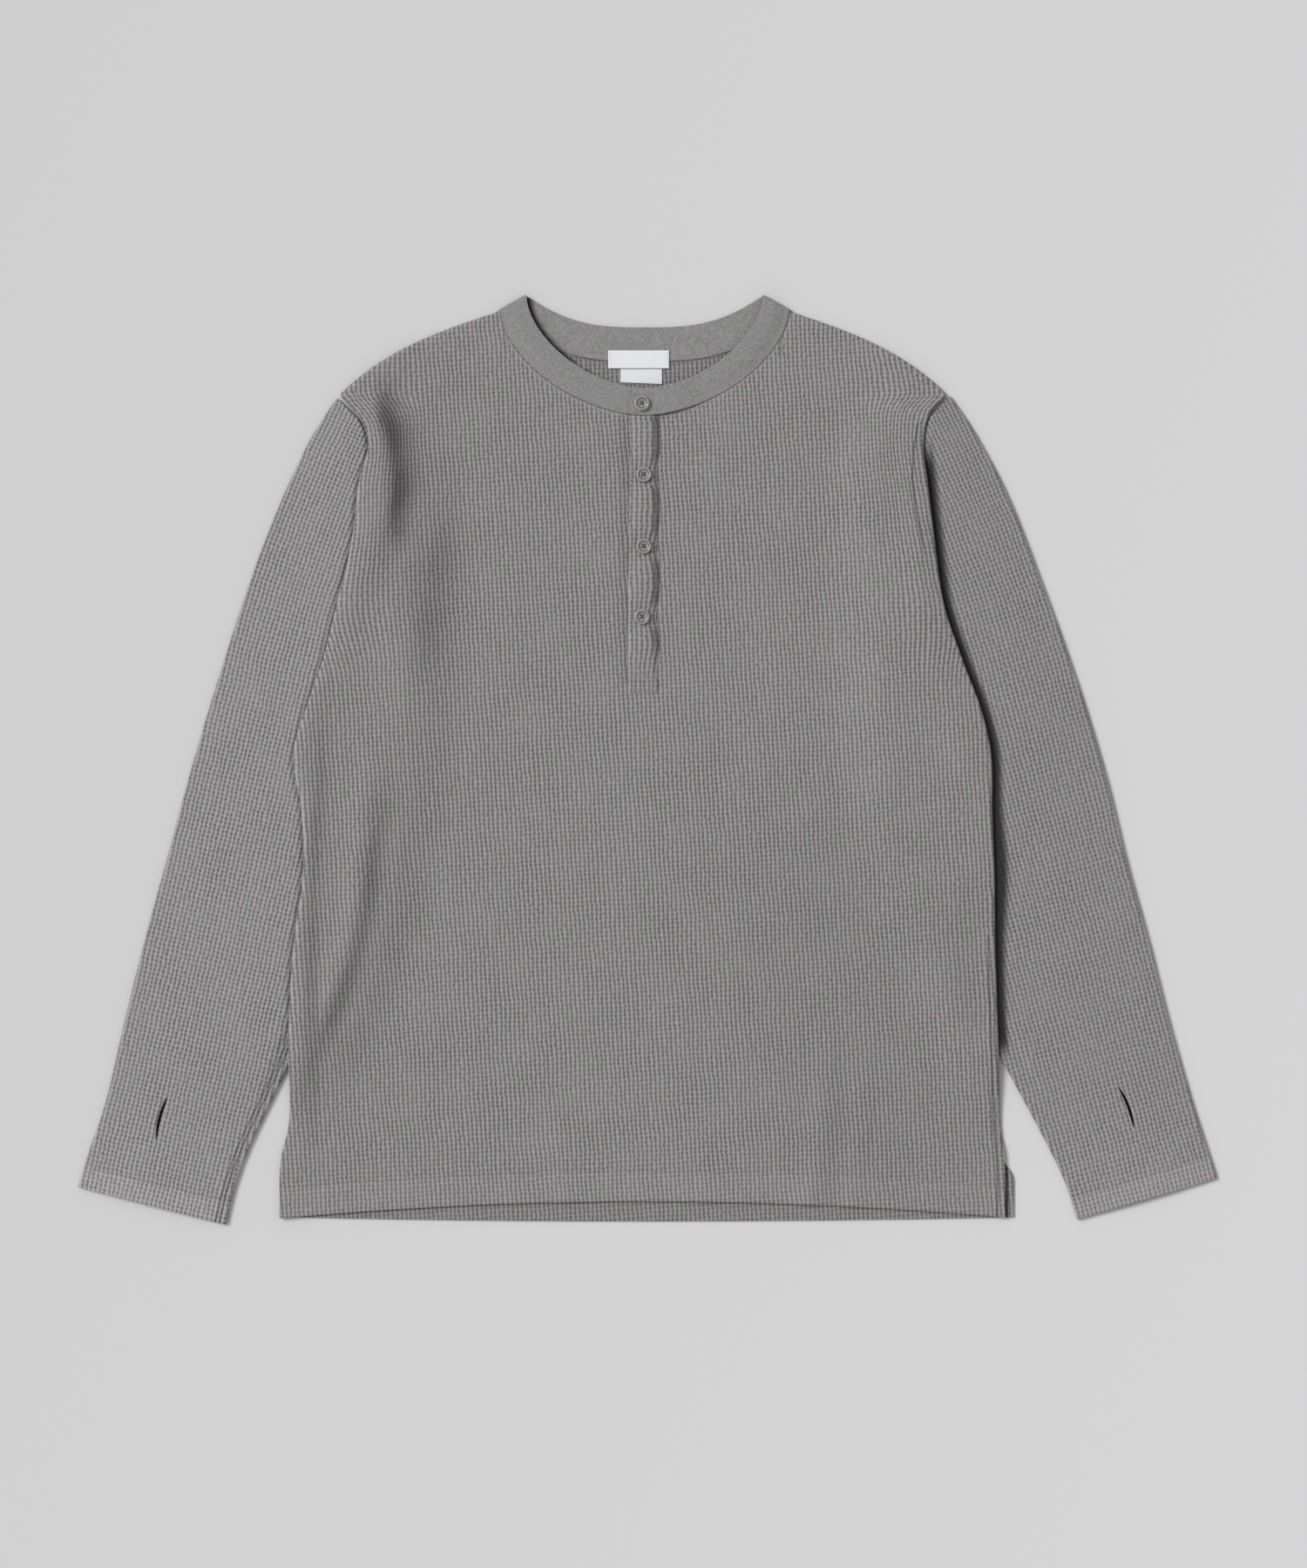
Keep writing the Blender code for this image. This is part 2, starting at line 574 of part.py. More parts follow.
def make_buttons(collection, helpers):
    """Four sew-through buttons: a turned disc with a raised rim and four holes."""
    finish = material("button resin", (0.035, 0.032, 0.03), 0.35)
    rim, well = BUTTON_RADIUS, BUTTON_RADIUS * 0.68
    profile = [(0, 1.7), (well, 1.7), (well + 0.5, 2.3), (rim - 0.6, BUTTON_THICK)]
    profile += [(rim, 1.9), (rim, 0.5), (rim - 0.7, 0), (0, 0)]
    placket_top = WAFFLE / 2 + LAYER + WAFFLE + 0.4 + WAFFLE / 2 + PUCKER
    band_top = WAFFLE + AIR + BAND + 0.3 + BAND
    for number, (x, y) in enumerate(BUTTON_SPOTS, start=1):
        mesh = bpy.data.meshes.new(f"button_{number}")
        edges = [(i, i + 1) for i in range(len(profile) - 1)]
        mesh.from_pydata([(r * MM, 0, z * MM) for r, z in profile], edges, [])
        button = add_object(f"button_{number}", mesh, collection, finish)
        button.location = (x * MM, y * MM, ((band_top if number == 1 else placket_top) + 0.3) * MM)
        screw = button.modifiers.new("turned", "SCREW")
        screw.steps = screw.render_steps = 24
        screw.use_merge_vertices = True
        screw.merge_threshold = 0.00005
        for hole in range(4):
            cutter = hole_cutter(f"button_{number}_hole_{hole}", helpers)
            angle = np.pi / 4 + hole * np.pi / 2
            cutter.location = button.location + cutter.location
            cutter.location.x += HOLE_OUT * MM * np.cos(angle)
            cutter.location.y += HOLE_OUT * MM * np.sin(angle)
            cut = button.modifiers.new(f"hole {hole}", "BOOLEAN")
            cut.operation = "DIFFERENCE"
            cut.object = cutter


def hole_cutter(name, helpers):
    shape = bmesh.new()
    radius = HOLE_RADIUS * MM
    bmesh.ops.create_cone(shape, cap_ends=True, segments=8, radius1=radius, radius2=radius, depth=8 * MM)
    mesh = bpy.data.meshes.new(name)
    shape.to_mesh(mesh)
    shape.free()
    cutter = add_object(name, mesh, helpers, None)
    cutter.hide_render = True
    cutter.display_type = "WIRE"
    return cutter


def make_label(name, box, base, collection):
    """A woven label: a thin rectangle with rounded corners, flat on the back's inner side."""
    x_from, x_to, y_from, y_to = box
    outline = bpy.data.curves.new(name, "CURVE")
    outline.dimensions = "2D"
    outline.fill_mode = "BOTH"
    outline.extrude = LABEL_WALL / 2 * MM
    spline = outline.splines.new("POLY")
    spline.points.add(3)
    corners = ((x_from, y_from), (x_to, y_from), (x_to, y_to), (x_from, y_to))
    for point, (x, y) in zip(spline.points, corners):
        point.co = (x * MM, y * MM, 0, 1)
    spline.use_cyclic_u = True
    label = add_object(name, outline, collection, material(f"{name} woven tape", (0.8, 0.8, 0.8), 0.8))
    label.location.z = (base + LABEL_WALL / 2) * MM


def build():
    clear_scene()
    collection = bpy.data.collections.new("thermal_top")
    helpers = bpy.data.collections.new("cutters")
    for group in (collection, helpers):
        bpy.context.scene.collection.children.link(group)
    make_back(collection)
    make_front(collection)
    make_plackets(collection)
    make_neckband(collection)
    for side in ("right", "left"):
        make_sleeve(side, collection, helpers)
    make_buttons(collection, helpers)
    make_label("label_main", MAIN_LABEL, BAND + 0.3, collection)
    make_label("label_care", CARE_LABEL, WAFFLE + 0.3, collection)


build()
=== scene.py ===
"""The looks of a man's henley thermal top in waffle knit, laid flat on a pale table.

Sizes are in millimetres and are turned to metres where a mesh is made. +X is the wearer's left, +Y
points from the hem to the neck and +Z is up. Each piece is a fine shell on its solid's own form.
"""

from functools import partial

import bpy
import numpy as np
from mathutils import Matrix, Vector


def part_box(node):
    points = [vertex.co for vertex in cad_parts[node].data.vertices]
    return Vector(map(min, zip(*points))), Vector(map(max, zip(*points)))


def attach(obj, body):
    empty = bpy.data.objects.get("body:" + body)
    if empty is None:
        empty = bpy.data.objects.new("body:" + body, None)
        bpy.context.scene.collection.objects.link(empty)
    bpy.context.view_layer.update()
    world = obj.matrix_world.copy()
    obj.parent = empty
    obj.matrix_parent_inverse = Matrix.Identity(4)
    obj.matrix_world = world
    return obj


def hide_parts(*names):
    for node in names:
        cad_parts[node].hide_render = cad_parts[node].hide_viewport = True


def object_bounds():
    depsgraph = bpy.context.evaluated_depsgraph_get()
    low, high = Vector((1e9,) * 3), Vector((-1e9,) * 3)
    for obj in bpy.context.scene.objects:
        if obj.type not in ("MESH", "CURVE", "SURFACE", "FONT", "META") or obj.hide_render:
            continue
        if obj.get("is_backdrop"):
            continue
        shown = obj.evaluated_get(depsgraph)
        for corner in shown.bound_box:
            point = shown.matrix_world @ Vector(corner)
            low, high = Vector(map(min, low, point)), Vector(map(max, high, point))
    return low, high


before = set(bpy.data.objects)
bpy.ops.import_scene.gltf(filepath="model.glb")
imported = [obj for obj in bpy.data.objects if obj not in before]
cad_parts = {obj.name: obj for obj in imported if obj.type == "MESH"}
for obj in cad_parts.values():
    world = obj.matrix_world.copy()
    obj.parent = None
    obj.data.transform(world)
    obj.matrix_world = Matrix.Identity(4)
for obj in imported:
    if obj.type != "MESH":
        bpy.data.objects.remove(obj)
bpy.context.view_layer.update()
MM = 0.001


# ---- Studio ----------------------------------------------------------------------------------
# A pale table seen from straight above. The room gives even light, and one broad lamp on the
# wearer's right models the folds and leaves the far side of each edge in soft shade.
TABLE_GREY = "#d3d3d3"
CAMERA_X, CAMERA_Y = 4.6, -19.0
CAMERA_HEIGHT = 3250.0
LENS, SENSOR = 100.0, 36.0
TABLE_HALF = 6000.0
ROOM_LIGHT = 0.54
LAMP_POWER, LAMP_ANGLE = 2.35, 24.0
LAMP_FROM = (-0.85, 0.42, 1.0)


def linear(code):
    """An sRGB hex colour in linear light: over 12.92 at the dark end, the power 2.4 above it."""
    share = np.array([int(code[place : place + 2], 16) for place in (1, 3, 5)]) / 255
    return tuple(np.where(share <= 0.04045, share / 12.92, ((share + 0.055) / 1.055) ** 2.4)) + (1.0,)


MODES = {"MapRange": "interpolation_type", "Mix": "blend_type"}


def wire(tree, kind, inputs, out=0, **settings):
    """Adds a node with its settings and inputs, and gives one output, or all of them where out is None.

    The kind may end in a mode, as in "Math ADD". Each input is a value or another node's output.
    """
    kind, *mode = kind.split()
    made = tree.nodes.new("ShaderNode" + kind)
    if mode:
        setattr(made, MODES.get(kind, "operation"), mode[0])
    for key, value in settings.items():
        setattr(made, key, value)
    for key, value in inputs.items():
        if isinstance(value, bpy.types.NodeSocket):
            tree.links.new(value, made.inputs[key])
        else:
            made.inputs[key].default_value = value
    return made.outputs if out is None or not made.outputs else made.outputs[out]


def new_material(name):
    """An empty material, and the function that adds nodes to it."""
    made = bpy.data.materials.new(name)
    made.use_nodes = True
    made.node_tree.nodes.clear()
    return made, partial(wire, made.node_tree)


def placed(name, data):
    """A new object in the scene that holds that mesh, lamp or camera."""
    thing = bpy.data.objects.new(name, data)
    bpy.context.scene.collection.objects.link(thing)
    return thing


def new_object(name, mesh, finish):
    mesh.materials.append(finish)
    return placed(name, mesh)


lens = bpy.data.cameras.new("camera")
lens.lens, lens.sensor_width, lens.sensor_fit = LENS, SENSOR, "AUTO"
lens.clip_end = 20.0
camera = placed("camera", lens)
camera.location = (CAMERA_X * MM, CAMERA_Y * MM, CAMERA_HEIGHT * MM)
bpy.context.scene.camera = camera
bpy.context.scene.view_settings.view_transform = "Standard"

table_paint, add = new_material("table_matt_paint")
surface = add("BsdfDiffuse", {"Color": linear(TABLE_GREY), "Roughness": 0.6})
add("OutputMaterial", {"Surface": surface})
table_mesh = bpy.data.meshes.new("table")
corners = [(x * TABLE_HALF * MM, y * TABLE_HALF * MM, 0) for x, y in ((-1, -1), (1, -1), (1, 1), (-1, 1))]
table_mesh.from_pydata(corners, [], [(0, 1, 2, 3)])
new_object("table", table_mesh, table_paint)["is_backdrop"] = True

room = bpy.data.worlds.new("room")
room.use_nodes = True
room.node_tree.nodes["Background"].inputs["Color"].default_value = linear("#ffffff")
room.node_tree.nodes["Background"].inputs["Strength"].default_value = ROOM_LIGHT
bpy.context.scene.world = room

lamp = bpy.data.lights.new("broad_lamp", "SUN")
lamp.energy, lamp.angle = LAMP_POWER, np.radians(LAMP_ANGLE)
placed("broad_lamp", lamp).rotation_euler = (-Vector(LAMP_FROM)).to_track_quat("-Z", "Y").to_euler()


# ---- Back panel ------------------------------------------------------------------------------
# One cut of grey melange waffle knit, from the hem to the neck seam, lying lowest. Its sides hide
# in the front's turned edges, and it shows below the front's hem, at the vents and inside the neck.
WALL = 1.8
AIR = 0.6
LAYER = WALL + AIR
RIM, RIM_COLUMNS = LAYER, 7
SEAM = 0.4
TILE = 3.3  # the waffle's repeat, across and along
FAR = 99.0  # the distance that is given where a piece has no such seam or hem

SIDES_COLUMNS = "height right left"
SIDES_ROWS = (
    (-342, -274, 266.5),
    (-293, -272, 265.5),
    (-279, -268.5, 264),
    (-214, -267.5, 261.5),
    (-141, -263.8, 259.2),
    (-84, -256.5, 258.5),
    (-40, -257.5, 257),
    (7, -263.5, 255.5),
    (33, -255.5, 249.5),
    (72, -242, 235),
    (115, -231, 220.5),
    (156, -221, 214.5),
    (206, -214.5, 208.5),
    (235, -208, 205.5),
    (249, -212, 207.5),
    (260, -220, 212.5),
    (270.5, -230, 224),
)
SHOULDER_BULGE = 10.0
SHOULDER_SKEW = 0.75
NECK_X, NECK_HALF, NECK_Y = -2.0, 107.5, 334.0
FRONT_DROP, FRONT_ROUND, BACK_DROP = 78.5, 1.72, 38.0
BAND_HALF, BAND_Y, BAND_FRONT_DROP = 88.0, 344.5, 68.5  # the neckband's free edge
FRONT_HEM, FRONT_HEM_FALL = -330.0, 12.0
BACK_HEM, BACK_HEM_RISE = -345.0, 3.0
VENT_TOP = -293.0
BACK_INSET = 2.6
VENT_FLARE = (0.5, 7.0)
HEM_DEPTH = 22.0  # the turned hem, from its edge to its stitch row
HEM_PRESS = 0.35  # the stitch row's sink
BEND, BEND_MOST, BEND_Y, BEND_LOW = 70.0, 16.0, 150.0, 50.0  # how the wales lean at the sides

SLEEVE_COLUMNS = "outer_x outer_y inner_x inner_y"
SLEEVE_ROWS = {
    "right": (
        (-424.5, -319.5, -314, -347.5),
        (-416, -292, -307, -319),
        (-403.5, -255, -295, -286.5),
        (-389.5, -195, -268, -230),
        (-375, -136, -244, -172.5),
        (-359, -78, -222, -117),
        (-341.5, -13, -205, -52),
        (-320, 59, -197, 13),
        (-294.5, 137, -197, 72),
        (-271.5, 195.5, -193, 133.5),
        (-253, 234.5, -192.5, 189),
        (-240, 256, -197, 228),
        (-231.5, 269, -204.5, 241),
    ),
    "left": (
        (424.5, -312.5, 320, -343.5),
        (416, -286, 311.5, -316.5),
        (405, -252, 295, -282),
        (388.5, -193.5, 264.5, -224.5),
        (374, -136, 240, -170),
        (358, -78, 218, -114),
        (342, -13, 201, -49),
        (320, 59, 194.5, 13),
        (292, 137, 193, 72),
        (269, 195.5, 190.5, 133.5),
        (249, 234.5, 189, 189),
        (236.5, 255, 194.5, 228),
        (225.5, 270.5, 200, 242),
    ),
}
LIFT, LIFT_FLAT, LIFT_RUN = 4.8, 15.0, 45.0


def table(columns, rows):
    """The columns of a table as arrays, by name."""
    return dict(zip(columns.split(), np.array(rows, float).T))


def curve(at, places, values):
    """A smooth curve through (places, values): cubic pieces with the slope of each row's neighbours."""
    slopes = np.gradient(values, places)
    i = np.clip(np.searchsorted(places, at, side="right") - 1, 0, len(places) - 2)
    step = places[i + 1] - places[i]
    t = (at - places[i]) / step
    ends = values[i] * (1 + 2 * t) * (1 - t) ** 2 + values[i + 1] * t**2 * (3 - 2 * t)
    return ends + step * t * (1 - t) * (slopes[i] * (1 - t) - slopes[i + 1] * t)


def smooth(t):
    """0 below 0, 1 above 1, and an S between."""
    t = np.clip(t, 0, 1)
    return t * t * (3 - 2 * t)


def ripple(x, y, size, seed):
    """Gentle unevenness from -1 to 1: the mean of six sine waves of about that length, in all directions."""
    chance = np.random.default_rng(seed)
    turn, phase = chance.uniform(0, 2 * np.pi, (2, 6))
    length = size * chance.uniform(0.7, 1.6, 6)
    along = x[..., None] * np.cos(turn) + y[..., None] * np.sin(turn)
    return np.sin(2 * np.pi * along / length + phase).mean(axis=-1)


SIDES = table(SIDES_COLUMNS, SIDES_ROWS)
SLEEVES = {side: table(SLEEVE_COLUMNS, rows) for side, rows in SLEEVE_ROWS.items()}


def side_x(side, y):
    """The body's edge on that side at that height."""
    return curve(y, SIDES["height"], SIDES[side])


SHOULDER_Y, CORNER_Y = SIDES["height"][-1], SIDES["height"][0]
TOP_WIDTH = SIDES["left"][-1] - SIDES["right"][-1]
BODY_WIDTH = SIDES["left"][3] - SIDES["right"][3]
NECK_FROM = (NECK_X - NECK_HALF - SIDES["right"][-1]) / TOP_WIDTH
NECK_TO = (NECK_X + NECK_HALF - SIDES["right"][-1]) / TOP_WIDTH


def front_seam(tau, half=NECK_HALF, top=NECK_Y, drop=FRONT_DROP):
    """The front neck seam: a half superellipse, tau from -1 at one neck point to 1 at the other."""
    arch = (1 - np.abs(tau) ** FRONT_ROUND).clip(0) ** (1 / FRONT_ROUND)
    return NECK_X + half * tau, top - drop * arch


def front_free(tau):
    """The front's free edge: the seam's superellipse at the band's own size."""
    return front_seam(tau, BAND_HALF, BAND_Y, BAND_FRONT_DROP)


def back_seam(tau):
    """The back neck seam: a cubic dip between the neck points."""
    return NECK_X + NECK_HALF * tau, NECK_Y - BACK_DROP * (1 - np.abs(tau) ** 3)


def top_edge(across, panel):
    """The top edge of a panel: a bulged shoulder, the neck seam, and the other shoulder."""
    tau = -1 + 2 * (across - NECK_FROM) / (NECK_TO - NECK_FROM)
    seam = front_seam if panel == "front" else back_seam
    neck_x, neck_y = seam(np.clip(tau, -1, 1))
    run = np.where(across < NECK_FROM, across / NECK_FROM, (1 - across) / (1 - NECK_TO)).clip(0, 1)
    bulge = SHOULDER_BULGE * np.sin(np.pi * run**SHOULDER_SKEW)
    shoulder_y = SHOULDER_Y + run * (NECK_Y - SHOULDER_Y) + bulge
    shoulder_x = SIDES["right"][-1] + across * TOP_WIDTH
    on_neck = np.abs(tau) <= 1
    return np.where(on_neck, neck_x, shoulder_x), np.where(on_neck, neck_y - SEAM / 2, shoulder_y)


def hem(x, panel):
    """The hem's height: the front's falls to its corners, the back's rises to them."""
    out = (x / SIDES["left"][0]) ** 2
    return FRONT_HEM - FRONT_HEM_FALL * out if panel == "front" else BACK_HEM + BACK_HEM_RISE * out


def body_plan(across, up, panel):
    """A body panel's plan, across 0 to 1 from right side to left and up 0 to 1 from hem to top.

    The height is a straight blend of hem and top edge. So is x, with what each side's own curve
    adds to its chord, dying away as the cube of the distance from that side.
    """
    hem_x = SIDES["right"][0] + across * (SIDES["left"][0] - SIDES["right"][0])
    top_x, top_y = top_edge(across, panel)
    y = (1 - up) * hem(hem_x, panel) + up * top_y
    x = (1 - up) * hem_x + up * top_x
    side_y = CORNER_Y + up * (SHOULDER_Y - CORNER_Y)
    for side, near in (("right", 1 - across), ("left", across)):
        chord = SIDES[side][0] + up * (SIDES[side][-1] - SIDES[side][0])
        x = x + near**3 * (side_x(side, side_y) - chord)
    return x, y


def lift(x, y):
    """The rise of the body over both sleeves: full on a sleeve, then an S down to nothing."""
    rise = 0.0
    for side, turn in (("right", 1), ("left", -1)):
        hidden = np.interp(y, SLEEVES[side]["inner_y"], SLEEVES[side]["inner_x"])
        rise = rise + smooth((LIFT_FLAT + LIFT_RUN - turn * (x - hidden)) / LIFT_RUN)
    ends = smooth((y + 280.0) / 60.0) * (0.3 + 0.7 * smooth((275.0 - y) / 22.0))
    return LIFT * rise.clip(0, 1) * ends


def away(x, y, line_x, line_y):
    """The distance in plan from each point to the nearest of a line's closely spaced points."""
    line = np.stack([line_x, line_y], axis=-1)
    parts = np.array_split(np.stack([x.ravel(), y.ravel()], axis=-1), 40)
    gaps = [np.linalg.norm(part[:, None] - line[None], axis=-1).min(axis=1) for part in parts]
    return np.concatenate(gaps).reshape(x.shape)


def under_edge(x, y):
    """How far a point lies inside the shade of the front's free edge: a straight ramp, 0 at its limit.

    The shade is deep and wide at the wearer's right, and thin at the left. The cloth's material draws
    it from 0 to 1 as an S, so that it stays crisp between the points of a grid.
    """
    tau = np.sin(np.linspace(-np.pi / 2, np.pi / 2, 500))
    gap = away(x, y, *front_free(tau))
    side = (x - NECK_X) / BAND_HALF
    width = 2.2 + 4.4 * smooth((-0.35 - side) / 0.5)
    depth = 0.35 + 0.45 * smooth((-0.1 - side) / 0.6) - 0.25 * smooth((side - 0.2) / 0.5)
    return depth * (width - gap) / (0.8 * width)


def bent_wales(x, y, across):
    """Where a point lies across the wales: x, less a share of the way the nearer side's edge has moved.

    The share is 1 at the edge and dies away over BEND, so the wales there run along the armhole. The
    move counts from BEND_Y, levels off at BEND_MOST and ends at BEND_LOW.
    """
    for side, near in (("right", across), ("left", 1 - across)):
        moved = side_x(side, y.clip(CORNER_Y, SHOULDER_Y)) - side_x(side, np.array([BEND_Y]))
        moved = BEND_MOST * np.tanh(moved / BEND_MOST) * smooth((y - BEND_LOW) / 80.0)
        x = x - moved * smooth(1 - near * BODY_WIDTH / BEND)
    return x


def panel_plan(panel, cuts=()):
    """The fine grid of a body panel: plan, drop round its turned edges, and rows and columns as shares.

    Sides and shoulders end in a quarter turn of radius RIM on the front, and flat on the back. Below
    the vents and along the neck the edge is flat on both.
    """
    quarter = np.radians(np.linspace(90, 0, RIM_COLUMNS))
    turned = WALL / 2 + RIM * (1 - np.sin(quarter))
    fall = RIM * (1 - np.cos(quarter))
    plain = np.linspace(0, 4, RIM_COLUMNS)
    tau = np.concatenate([np.sin(np.linspace(-np.pi / 2, np.pi / 2, 61)), cuts])
    tau = np.sort(tau[np.abs(tau) > 1e-9])
    shoulder = np.linspace(0.07, 1, 28)[:-1]
    columns = [shoulder * NECK_FROM, NECK_FROM + (tau + 1) / 2 * (NECK_TO - NECK_FROM)]
    columns = np.concatenate([*columns, 1 - shoulder[::-1] * (1 - NECK_TO)])
    slit_end = (PLACKET_SLIT_END - FRONT_HEM) / (NECK_Y - FRONT_DROP - FRONT_HEM)
    rows = np.concatenate([np.linspace(0, 0.045, 14), np.linspace(0.045, slit_end, 92)[1:]])
    rows = np.concatenate([rows, np.linspace(slit_end, 0.985, 50)[1:]])
    on_side = smooth((rows - 0.075) / 0.03)
    on_side = np.append(on_side, np.ones(len(quarter)))[:, None]
    on_top = ((columns < NECK_FROM - 1e-6) | (columns > NECK_TO + 1e-6)).astype(float)[:, None]
    side_in, side_drop = on_side * turned + (1 - on_side) * plain, on_side * fall
    top_in, top_drop = on_top * turned + (1 - on_top) * plain, on_top * fall
    if panel == "back":
        side_in, side_drop = side_in + BACK_INSET, side_drop * 0
        top_in, top_drop = top_in + 1.2 * BACK_INSET * on_top, top_drop * 0
    edge = len(quarter)
    between = np.tile(columns, (len(rows) + edge, 1))
    across = np.hstack([side_in / BODY_WIDTH, between, 1 - side_in[:, ::-1] / BODY_WIDTH])
    top_in, top_drop = (np.pad(part, ((edge, edge), (0, 0)), "edge") for part in (top_in, top_drop))
    top_up = 1 - top_in[:, ::-1].T / (SHOULDER_Y - CORNER_Y)
    up = np.vstack([np.tile(rows[:, None], (1, across.shape[1])), top_up])
    drop = np.hstack([side_drop, 0 * between, side_drop[:, ::-1]])
    drop[len(rows) :] += top_drop[:, ::-1].T
    x, y = body_plan(across, up, panel)
    return across, up, x, y, drop.clip(0, RIM), columns, rows, slit_end


def cloth_mesh(name, points, marks, turn=0.0, keep=None, ring=False):
    """A sheet through a grid of points, with its knit map and its marks.

    The map "knit" is the plan in millimetres turned by that many degrees, so its first number runs
    across the wales. Marks are named numbers for each point, such as the distance from a seam.
    """
    rows, columns = points.shape[:2]
    number = np.arange(rows * columns).reshape(rows, columns)
    if ring:
        number = np.hstack([number, number[:, :1]])
    faces = np.stack([number[:-1, :-1], number[:-1, 1:], number[1:, 1:], number[1:, :-1]], axis=-1)
    faces = faces.reshape(-1, 4) if keep is None else faces[keep]
    used, faces = np.unique(faces, return_inverse=True)
    faces = faces.reshape(-1, 4)
    flat = points.reshape(-1, 3)[used]
    mesh = bpy.data.meshes.new(name)
    mesh.from_pydata((flat * MM).tolist(), [], faces.tolist())
    lean = np.radians(turn)
    knit_x = marks.pop("knit_x", points[..., 0]).reshape(-1)[used]
    knit_y = marks.pop("knit_y", points[..., 1]).reshape(-1)[used]
    turned_x = knit_x * np.cos(lean) + knit_y * np.sin(lean)
    knit = np.stack([turned_x, knit_y * np.cos(lean) - knit_x * np.sin(lean)], axis=-1)
    marks = {"line": FAR, "hem": FAR, **marks}
    mesh.uv_layers.new(name="knit").data.foreach_set("uv", knit[faces.ravel()].ravel())
    for mark, values in marks.items():
        values = np.broadcast_to(values, points.shape[:2]).reshape(-1)[used]
        mesh.attributes.new(mark, "FLOAT", "POINT").data.foreach_set("value", values.astype(np.float32))
    mesh.shade_smooth()
    return mesh


def thicken(thing, wall, rounding=0.36):
    """Gives a sheet its wall, half to each side, and rounds the cut edges by that share of it."""
    solid = thing.modifiers.new("wall", "SOLIDIFY")
    solid.thickness, solid.offset = wall * MM, 0.0
    edge = thing.modifiers.new("rounded edge", "BEVEL")
    edge.width, edge.segments = rounding * wall * MM, 3
    edge.limit_method, edge.angle_limit = "ANGLE", np.radians(60)


def stand_in(piece, node):
    """Puts a piece in place: it rides on the one body and takes the place of that node."""
    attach(piece, "root")
    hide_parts(node)


def cloth_piece(name, points, marks, finish, node, slot, turn=0.0, keep=None, wall=WALL, rounding=0.36):
    """A sheet through a grid of points, given its wall and set in the place of that node."""
    piece = new_object(name, cloth_mesh(name, points, marks, turn, keep), finish)
    thicken(piece, wall, rounding)
    stand_in(piece, node)
    return piece


def cloth_finish(add, colour, height, roughness, strength, depth):
    """Ends a cloth's material: its colour, a faint bloom, and its relief as bump of that depth in mm."""
    relief = add("Bump", {"Height": height, "Strength": strength, "Distance": depth * MM})
    look = {"Base Color": colour, "Roughness": roughness, "Normal": relief}
    shader = add("BsdfPrincipled", {**look, "Sheen Weight": 0.12, "Specular IOR Level": 0.2})
    add("OutputMaterial", {"Surface": shader})


